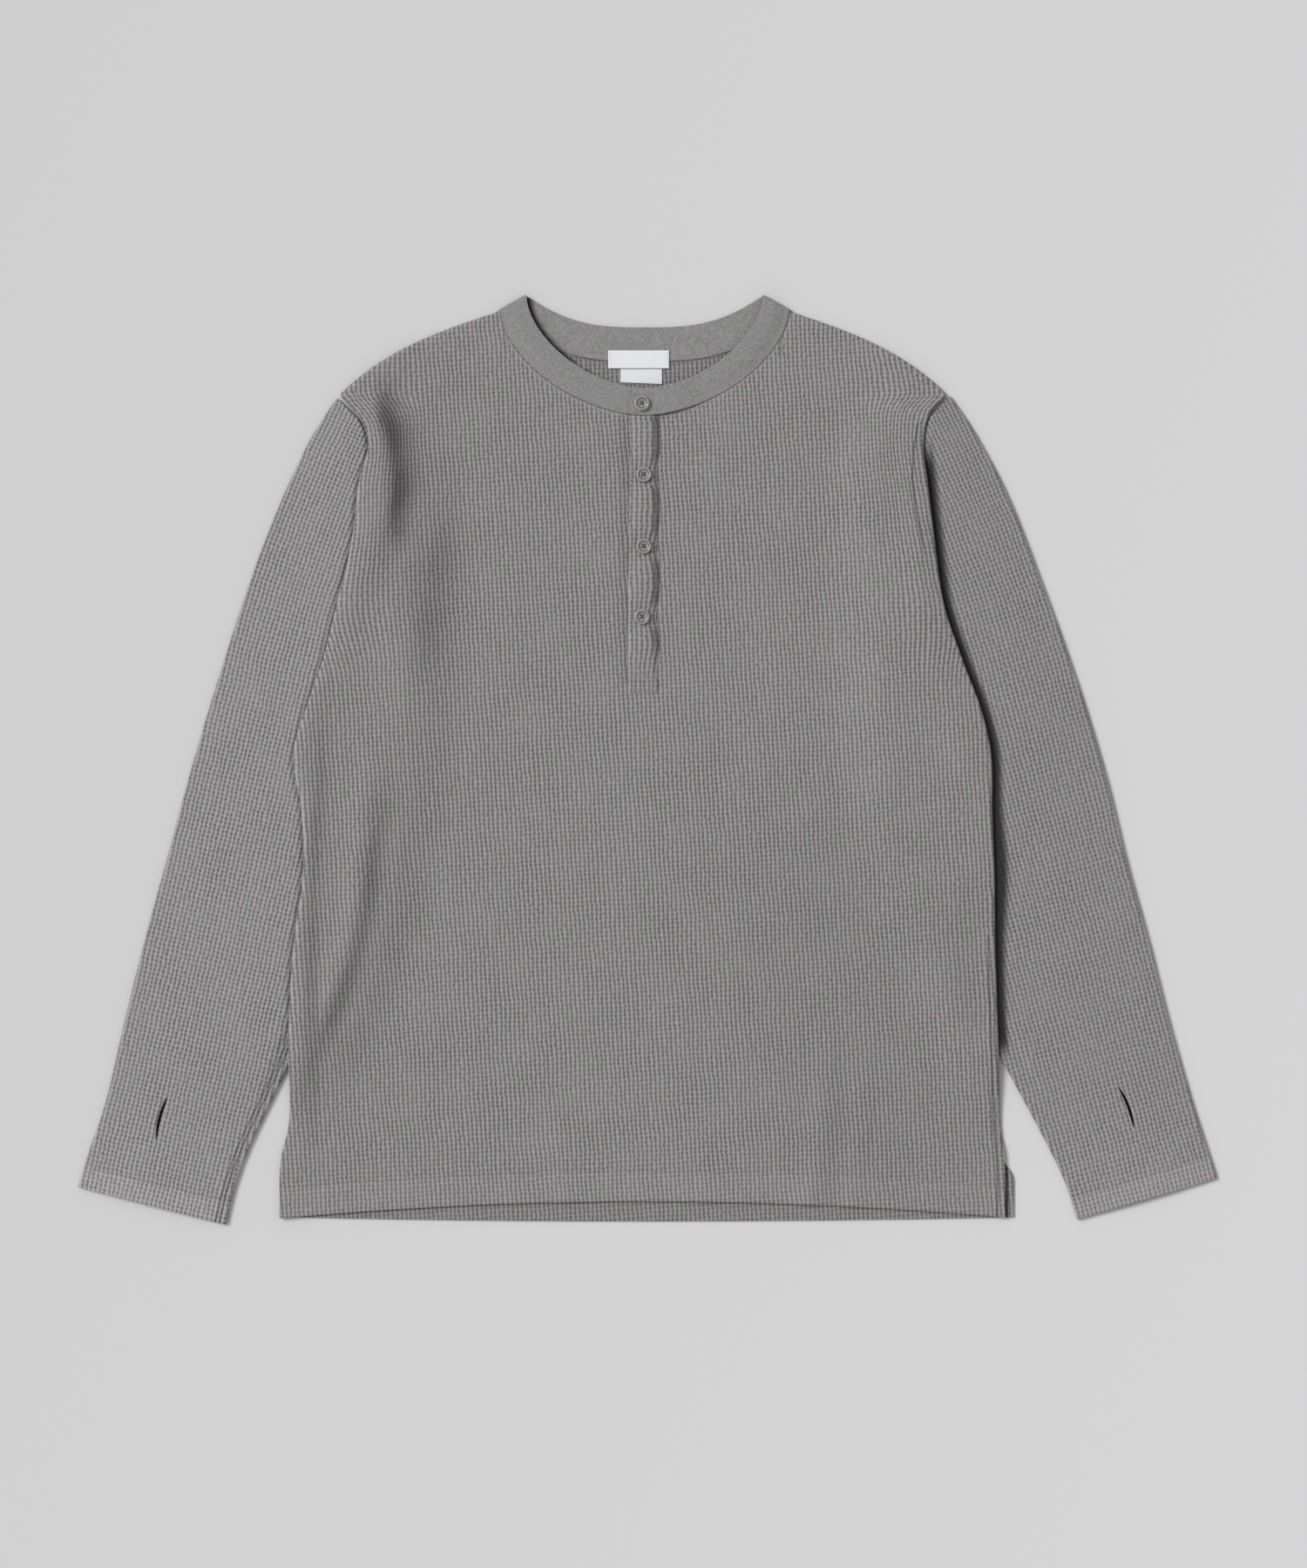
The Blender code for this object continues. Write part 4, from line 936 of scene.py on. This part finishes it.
def sleeve_lines(side, at):
    """Stations of a sleeve: outer edge, the place under the body's edge, and inner edge."""
    rows = SLEEVES[side]
    places = np.arange(len(rows["outer_x"]), dtype=float)
    outer, inner = (
        np.stack([curve(at, places, rows[line + axis]) for axis in ("_x", "_y")], axis=-1)
        for line in ("outer", "inner")
    )
    turn = 1 if side == "right" else -1
    share = np.full(len(at), 0.9)
    for _ in range(30):
        spot = outer + share[:, None] * (inner - outer)
        edge = side_x(side, spot[:, 1]) - turn * 2.0
        share = (share + 0.7 * (edge - spot[:, 0]) / (inner - outer)[:, 0]).clip(0.5, 0.9)
    return outer, outer + share[:, None] * (inner - outer), inner


def sleeve_points(side, at):
    """A sleeve's rings: bottom layer, a half turn at each edge, and a top layer, fuller by the body."""
    outer, edge, inner = sleeve_lines(side, at)
    half = LAYER / 2
    turn = WALL / 2 + half
    width = np.linalg.norm(inner - outer, axis=1)[:, None]
    visible = np.linalg.norm(edge - outer, axis=1)[:, None]
    to_inner = (inner - outer)[:, None] / width[:, :, None]
    near = (PUFF_NEAR[side] * smooth((at - 2.0) / 2.5) * smooth((12.9 - at) / 1.5))[:, None]
    bend = np.radians(np.linspace(-90, 90, 9))[None]
    flat = np.linspace(0, 1, TOP_COLUMNS[0] + 2)[None, 1:-1]
    close = np.linspace(0, 1, TOP_COLUMNS[1])[None]
    rest = np.linspace(0, 1, TOP_COLUMNS[2] + 2)[None, 1:-1]
    top = [turn + flat * (visible - 10.0 - turn), visible - 10.0 * (1 - close)]
    top = np.concatenate([*top, visible + rest * (width - turn - visible)], axis=1)
    share = ((top - turn) / (visible - turn)).clip(0, 1)
    tip = smooth((at - 9.8) / 1.4)[:, None]
    near = near * (1 - tip) + TIP_RISE * tip
    reach_in = (3.0 if side == "right" else -1.0) * (1 - tip) + 3.0 * tip
    rise = PUFF_MID * np.sin(np.pi * share) + near * share**2 * smooth((visible + reach_in - top) / 4.5)
    bottom = turn + np.linspace(1, 0, 32)[None, 1:-1] * (width - 2 * turn)
    back_bend = bend[:, ::-1]
    place = [turn - half * np.cos(bend) + 0 * width, top, width - turn + half * np.cos(back_bend), bottom]
    place = np.concatenate(place, axis=1)
    level = [turn + half * np.sin(bend) + 0 * width, turn + half + rise]
    level += [turn + half * np.sin(back_bend) + 0 * width, np.full_like(bottom, turn - half)]
    level = np.concatenate(level, axis=1)
    x, y = np.moveaxis(outer[:, None] + to_inner * place[:, :, None], -1, 0)
    on_top = np.concatenate([bend[0] * 0 + 0.5, top[0] * 0 + 1, bend[0] * 0 + 0.5, bottom[0] * 0])
    return x, y, level, place, width, visible, np.broadcast_to(on_top, place.shape), bend.size


def sleeve_grain(side, x, y):
    """Knit places on a sleeve: the plan turned along it, then bent on a circle above GRAIN_FROM."""
    lean = np.radians(SLEEVE_TURN[side])
    over = (y - GRAIN_FROM).clip(0, None)
    axis = side_x(side, y) * 1.18
    bend = np.sign(lean) / GRAIN_RADIUS
    knit_x = x * np.cos(lean) + y * np.sin(lean) + bend * over**2 / 2
    return knit_x, y * np.cos(lean) - x * np.sin(lean) - bend * over * (x - axis)


def slit_line(side):
    """The thumb slit's bowed middle line and half width, pointed at both ends."""
    x, y, lean = SLITS[side]
    t = np.linspace(-1, 1, 25)
    turn = np.radians(lean)
    bow = SLIT_BOW * (1 - t**2) * (-1 if side == "right" else 1)
    along = t * SLIT_LENGTH / 2
    x = x + bow * np.cos(turn) + along * np.sin(turn)
    y = y - bow * np.sin(turn) + along * np.cos(turn)
    return x, y, SLIT_WIDTH / 2 * np.sqrt(1 - t**2 + 1e-4), turn


def slit_cutter(side):
    """A closed block of the slit's outline, from the sleeve's hollow up through its top layer."""
    x, y, half, turn = slit_line(side)
    left = np.stack([x - half * np.cos(turn), y + half * np.sin(turn)], axis=-1)
    right = np.stack([x + half * np.cos(turn), y - half * np.sin(turn)], axis=-1)
    ring = np.concatenate([left, right[::-1]])[::-1]
    count = len(ring)
    points = np.concatenate([np.column_stack([ring, np.full(count, level)]) for level in SLIT_CUT])
    i = np.arange(count)
    faces = np.stack([i, (i + 1) % count, (i + 1) % count + count, i + count], axis=-1).tolist()
    faces += [i[::-1].tolist(), (i + count).tolist()]
    mesh = bpy.data.meshes.new("slit_cutter")
    mesh.from_pydata((points * MM).tolist(), [], faces)
    return placed("slit_cutter", mesh)


def apply_cuts(thing):
    """Works out an object's modifiers and keeps its mesh as it then is."""
    graph = bpy.context.evaluated_depsgraph_get()
    done = thing.evaluated_get(graph)
    mesh = bpy.data.meshes.new_from_object(done, preserve_all_data_layers=True, depsgraph=graph)
    thing.modifiers.clear()
    thing.data = mesh


# light yarn in two tints, the pits' painted shade and its contrast: the left sleeve's copy is darker all
# over, as painted shade
SLEEVE_KNITS = {
    "right": (("#969094", "#919391"), "#454344", 0.84),
    "left": (("#8f898d", "#8a8c8a"), "#403e3f", 0.80),
}
cuff_rows = {}
for side in ("right", "left"):
    at = np.concatenate([np.linspace(0, 0.7, 18), np.linspace(0.7, 12, 128)[1:]])
    x, y, z, place, width, visible, on_top, bends = sleeve_points(side, at)
    own = folds(x, y, SLEEVE_FOLDS[side]) + 0.2 * ripple(x, y, 40.0, 8) + 0.1 * ripple(x, y, 15.0, 9)
    fade = smooth((visible - 6.0 - place) / 20.0) * smooth((place - 2.0) / 10.0)
    z = z + (on_top == 1) * own.clip(-0.3, None) * fade
    knit_x, knit_y = sleeve_grain(side, x, y)
    cuff_gap = np.linalg.norm(np.stack([x - x[:1], y - y[:1]], axis=-1), axis=-1)
    slit_x, slit_y, _, _ = slit_line(side)
    slit_gap = away(x, y, slit_x, slit_y)
    body_gap = np.abs(x) - np.abs(side_x(side, y))
    gap_width = GAP_WIDTH * (1 + 0.35 * np.exp(-(((y + 84.0) / 40.0) ** 2)))
    # painted shadow of the body's edge on the left sleeve's top
    body_shadow = (side == "left") * GAP_SHADE * smooth((gap_width - body_gap) / (0.5 * gap_width))
    underarm = np.abs(width - place - UNDERARM_IN) - 1.5  # 0 at each of two lines
    reach_down = smooth((y + 226.0) / 16.0) * smooth((242.0 - y) / 26.0)
    # painted shade on the bottom layer seen through the thumb slit
    slit_shade = (on_top == 0) * 0.95 * smooth((9.0 - slit_gap) / 5.0)
    shade = np.maximum((on_top > 0) * body_shadow * reach_down, slit_shade)
    marks = {
        "knit_x": knit_x,
        "knit_y": knit_y,
        "seam": place.clip(0, None) + 1.3,
        "line": np.where((side == "right") & (on_top > 0) & (y < -205.0), underarm, FAR),
        "hem": cuff_gap + (HEM_DEPTH - CUFF_DEPTH),
        "shade": shade - CUFF_LIGHT * smooth((90.0 - cuff_gap) / 60.0),
    }
    points = np.stack([x, y, z], axis=-1)
    top_end = bends + sum(TOP_COLUMNS) - 1
    cuff_rows[side] = points[CUFF_STATION, bends:top_end] + [0, 0, WALL / 2]
    if side == "left":
        points = points[:, ::-1]
        marks = {mark: np.broadcast_to(values, x.shape)[:, ::-1] for mark, values in marks.items()}
    keep = np.ones((points.shape[0] - 1, points.shape[1]), bool)
    total = points.shape[1]
    hidden = np.arange(top_end, top_end + bends + 1)
    hidden = hidden if side == "right" else total - 2 - hidden
    keep[np.ix_(at[:-1] >= ARMPIT, hidden)] = False
    name = f"sleeve_{side}_tube"
    light, dark, contrast = SLEEVE_KNITS[side]
    knit = waffle_knit(f"cotton_waffle_knit_sleeve_{side}", light, dark, contrast, 0.24, 0.12)
    sleeve = new_object(name, cloth_mesh(name, points, marks, 0.0, keep, ring=True), knit)
    thicken(sleeve, WALL)
    cutter = slit_cutter(side)
    cut = sleeve.modifiers.new("thumb slit", "BOOLEAN")
    cut.operation, cut.object = "DIFFERENCE", cutter
    apply_cuts(sleeve)
    bpy.data.objects.remove(cutter)
    stand_in(sleeve, f"sleeve_{side}")


# ---- Buttons ---------------------------------------------------------------------------------
# Four small sew-through buttons of cast resin, turned with a raised rim round a sunk well, each with
# four holes and a cross of grey thread. They are fastened through the upper strip.
BUTTON_RADIUS = 5.75
HOLE_RADIUS, HOLE_OUT = 0.62, 1.45


def button_resin(name):
    """Smoky cast resin: a dark brown-grey body with faint clouds, polished to a soft gloss."""
    made, add = new_material(name)
    spot = add("TexCoord", {}, out="Object")
    cloud = add("TexNoise", {"Vector": spot, "Scale": 420.0, "Detail": 3.0}, out=0)
    cloud = add("MapRange", {"Value": cloud, 1: 0.35, 2: 0.65})
    colour = add("Mix", {0: cloud, 6: linear("#847f7c"), 7: linear("#96918e")}, out=2, data_type="RGBA")
    # painted shade in the sunk well: its slope darkened most, and its middle round the holes a little
    well = add("Attribute", {}, out="Fac", attribute_name="well")
    colour = add("Mix", {0: well, 6: colour, 7: linear("#4d4846")}, out=2, data_type="RGBA")
    shader = add("BsdfPrincipled", {"Base Color": colour, "Roughness": 0.34, "Coat Weight": 0.15})
    add("OutputMaterial", {"Surface": shader})
    return made


def button_mesh(name, x, y, z):
    """A turned disc: the profile's radius and height at each step, carried round in a circle."""
    rim, well = BUTTON_RADIUS, 0.62 * BUTTON_RADIUS
    side = [(0.01, 0.0), (rim - 0.8, 0.0), (rim - 0.25, 0.25), (rim, 0.8), (rim, 1.5), (rim - 0.2, 2.0)]
    lip = [(rim - 0.6, 2.32), (rim - 1.05, 2.4), (rim - 1.5, 2.28)]
    floor = [(well + 0.35, 1.9), (well - 0.05, 1.5), (well - 0.6, 1.38), (0.01, 1.34)]
    profile = np.array(side + lip + floor)
    turn = np.linspace(0, 2 * np.pi, 49)[:-1]
    out, up = profile[:, :1], profile[:, 1:]
    ring = np.stack([x + out * np.cos(turn), y + out * np.sin(turn), z + up + 0 * turn], axis=-1)
    rows, count = ring.shape[:2]
    number = np.arange(rows * count).reshape(rows, count)
    ahead = np.roll(number, -1, axis=1)
    faces = np.stack([number[:-1], ahead[:-1], ahead[1:], number[1:]], axis=-1).reshape(-1, 4).tolist()
    faces += [number[0, ::-1].tolist(), number[-1].tolist()]
    mesh = bpy.data.meshes.new(name)
    mesh.from_pydata((ring.reshape(-1, 3) * MM).tolist(), [], faces)
    # painted shade: darkest on the well's slope, and a little in its middle
    deep = np.exp(-(((profile[:, 0] - well) / 0.4) ** 2)) * (profile[:, 1] > 1.0)
    deep = np.repeat(deep + 0.3 * (profile[:, 0] < 2.4) * (profile[:, 1] > 1.0), count)
    mesh.attributes.new("well", "FLOAT", "POINT").data.foreach_set("value", deep.astype(np.float32))
    mesh.shade_smooth()
    return mesh


def stitches(name, path, pitch, length, radius, finish, height=0.35):
    """A row of thread stitches as one mesh: each is an arched spindle on the path, with six sides."""
    along = run_length(path)
    spots = np.arange(pitch / 2, along[-1], pitch)
    t = np.linspace(-1, 1, 5)
    at = spots[:, None] + t * length / 2
    centre = np.stack([np.interp(at, along, path[:, axis]) for axis in range(3)], axis=-1)
    centre[..., 2] += height * (1 - t**2) - 0.12
    ahead = np.gradient(centre, axis=1)
    ahead /= np.linalg.norm(ahead, axis=-1, keepdims=True)
    aside = np.cross(ahead, [0.0, 0.0, 1.0])
    aside /= np.linalg.norm(aside, axis=-1, keepdims=True)
    above = np.cross(aside, ahead)
    angle = np.linspace(0, 2 * np.pi, 7)[:-1]
    thick = (radius * np.sqrt(1.02 - t**2))[None, :, None, None]
    ring = aside[:, :, None] * np.cos(angle)[:, None] + above[:, :, None] * np.sin(angle)[:, None]
    points = centre[:, :, None] + thick * ring
    one = np.arange(30).reshape(5, 6)
    ahead_one = np.roll(one, -1, axis=1)
    quads = np.stack([one[:-1], one[1:], ahead_one[1:], ahead_one[:-1]], axis=-1).reshape(-1, 4)
    ends = np.stack([one[0], one[-1, ::-1]])
    step = one.size * np.arange(len(spots))[:, None, None]
    faces = (quads + step).reshape(-1, 4).tolist() + (ends + step).reshape(-1, 6).tolist()
    mesh = bpy.data.meshes.new(name)
    mesh.from_pydata((points.reshape(-1, 3) * MM).tolist(), [], faces)
    mesh.shade_smooth()
    return new_object(name, mesh, finish)


def sewing_thread(name, colour):
    """Spun polyester thread: matt, with a fine twist along it."""
    made, add = new_material(name)
    spot = add("TexCoord", {}, out="Object")
    twist = add("TexNoise", {"Vector": spot, "Scale": 1800.0, "Detail": 1.0}, out=0)
    twist = add("MapRange", {"Value": twist, 1: 0.3, 2: 0.7, 3: 0.8, 4: 1.15})
    yarn = add("Mix MULTIPLY", {0: 1.0, 6: linear(colour), 7: twist}, out=2, data_type="RGBA")
    shader = add("BsdfPrincipled", {"Base Color": yarn, "Roughness": 0.8, "Sheen Weight": 0.2})
    add("OutputMaterial", {"Surface": shader})
    return made


resin = button_resin("cast_resin_button_smoke")
button_thread = sewing_thread("polyester_thread_button", "#4a4644")
for number, (x, y) in enumerate(BUTTON_SPOTS, start=1):
    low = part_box(f"button_{number}")[0][2] / MM
    name = f"button_{number}_turned"
    button = new_object(name, button_mesh(name, x, y, low), resin)
    holes = []
    for quarter in range(4):
        angle = np.pi / 4 + quarter * np.pi / 2
        bpy.ops.mesh.primitive_cylinder_add(
            vertices=14,
            radius=HOLE_RADIUS * MM,
            depth=8 * MM,
            location=((x + HOLE_OUT * np.cos(angle)) * MM, (y + HOLE_OUT * np.sin(angle)) * MM, low * MM),
        )
        holes.append(bpy.context.active_object)
        cut = button.modifiers.new(f"hole {quarter}", "BOOLEAN")
        cut.operation, cut.object = "DIFFERENCE", holes[-1]
    apply_cuts(button)
    for hole in holes:
        bpy.data.objects.remove(hole)
    stand_in(button, f"button_{number}")
    for turn, word in ((np.pi / 4, "rising"), (-np.pi / 4, "falling")):
        reach = np.array([np.cos(turn), np.sin(turn), 0.0]) * (HOLE_OUT + 0.25)
        path = np.array([x, y, low + 1.45]) + np.linspace(-1, 1, 9)[:, None] * reach
        name = f"button_{number}_thread_{word}"
        pitch, length = 2 * HOLE_OUT + 0.45, 2 * HOLE_OUT + 0.3
        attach(stitches(name, path, pitch, length, 0.34, button_thread, 0.5), "root")


# ---- Labels ----------------------------------------------------------------------------------
# Two bare tapes are sewn inside the back neck: a woven one folded at its ends, and a thin satin one
# hanging below it, a little askew. Both are plain white.
MAIN_LABEL = (-29.2, 16.2, 290.8, 304.2)
CARE_LABEL = (-20.0, 11.0, 280.0, 290.4)
TAPE_WALL = 0.7


def white_tape(name, colour, thread):
    """White woven polyester tape: fine crossing threads of that spacing, with a slight satin sheen."""
    made, add = new_material(name)
    spot = add("TexCoord", {}, out="Object")
    weave = add("VectorMath SCALE", {0: spot, "Scale": 2 * np.pi / (thread * MM)})
    weave = add("VectorMath SINE", {0: weave})
    weave = add("SeparateXYZ", {0: weave}, out=None)
    cross = add("Math ADD", {0: weave["X"], 1: weave["Y"]})
    bright = add("Math MULTIPLY_ADD", {0: cross, 1: 0.012, 2: 0.98})
    tape = add("Mix MULTIPLY", {0: 1.0, 6: linear(colour), 7: bright}, out=2, data_type="RGBA")
    relief = add("Bump", {"Height": cross, "Strength": 0.2, "Distance": 0.1 * MM})
    look = {"Base Color": tape, "Roughness": 0.6, "Normal": relief, "Sheen Weight": 0.1}
    shader = add("BsdfPrincipled", look)
    add("OutputMaterial", {"Surface": shader})
    return made


for name, box, level, skew, colour, thread in (
    ("label_main", MAIN_LABEL, 3.2, 0.0, "#dcdde0", 0.5),
    ("label_care", CARE_LABEL, 2.6, -1.4, "#d8d9dc", 0.35),
):
    x_from, x_to, y_from, y_to = box
    x, y = np.meshgrid(np.linspace(x_from, x_to, 30), np.linspace(y_from, y_to, 12))
    share = (x - x_from) / (x_to - x_from)
    y = y + skew * (share - 0.3) * (y_to - y) / (y_to - y_from)
    z = level + 0.25 * np.sin(np.pi * share) ** 2 * smooth((y_to - y) / 8.0) + 0 * x
    points, white = np.stack([x, y, z], axis=-1), white_tape(f"woven_tape_{name}", colour, thread)
    tape = cloth_piece(f"{name}_tape", points, {"shade": 0.0}, white, name, "label_tape", wall=TAPE_WALL)


# ---- Stitching -------------------------------------------------------------------------------
# Polyester thread of the cloth's own grey holds the hems, the cuffs and the placket's foot. A
# lighter row runs round the neck just outside the band, and the main label is caught at its ends.
THREAD_RADIUS = 0.24


def on_front(x, y):
    """Points on the front's upper face."""
    return np.stack([x, y, front_height(x, y) + WALL / 2], axis=-1)


def foot_path(*corners):
    """Straight runs over the placket's foot, on its upper face."""
    x, y = line_points(*corners)
    return np.stack([x, y, LAYER + 2 * WALL + 0.4 - foot_sink(y)], axis=-1)


hem_thread = sewing_thread("polyester_thread_grey", "#7f7b7d")
neck_thread = sewing_thread("polyester_thread_light_grey", "#9a9698")
label_thread = sewing_thread("polyester_thread_white", "#c4c5c9")
across_hem = np.linspace(-262.0, 256.0, 400)
hem_row = on_front(across_hem, hem(across_hem, "front") + HEM_DEPTH) - [0, 0, HEM_PRESS]
tau = np.linspace(-0.93, 0.93, 400)
neck_x, neck_y = front_seam(tau)
ahead = np.stack([np.gradient(neck_x), np.gradient(neck_y)], axis=-1)
ahead /= np.linalg.norm(ahead, axis=-1, keepdims=True)
neck_row = on_front(neck_x + 1.7 * ahead[:, 1], neck_y - 1.7 * ahead[:, 0])
free_x, sewn_x = PLACKET_EDGES[0] + 1.4, PLACKET_EDGES[1] - 1.4
box = foot_path((free_x, 60.5), (sewn_x, 60.5), (sewn_x, 49.6), (free_x, 49.6), (free_x, 60.5))
rows = {
    "hem_stitches_front": (hem_row, 3.1, 2.2, hem_thread),
    "cuff_stitches_right": (cuff_rows["right"], 3.1, 2.2, hem_thread),
    "cuff_stitches_left": (cuff_rows["left"], 3.1, 2.2, hem_thread),
    "neck_stitches_right": (neck_row[neck_row[:, 0] < PLACKET_EDGES[0] - 1.0], 2.6, 2.0, neck_thread),
    "neck_stitches_left": (neck_row[neck_row[:, 0] > PLACKET_EDGES[1] + 1.0], 2.6, 2.0, neck_thread),
    "placket_box_stitches": (box, 2.6, 2.0, hem_thread),
}
for number, x in enumerate((MAIN_LABEL[0] + 1.8, MAIN_LABEL[1] - 1.8), start=1):
    x, y = line_points((x, MAIN_LABEL[2] + 2.0), (x, MAIN_LABEL[3] - 1.0))
    rows[f"label_stitches_{number}"] = (np.stack([x, y, 0 * x + 3.6], axis=-1), 2.0, 1.5, label_thread)
for name, (path, pitch, length, finish) in rows.items():
    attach(stitches(name, path, pitch, length, THREAD_RADIUS, finish, 0.14), "root")


low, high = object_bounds()
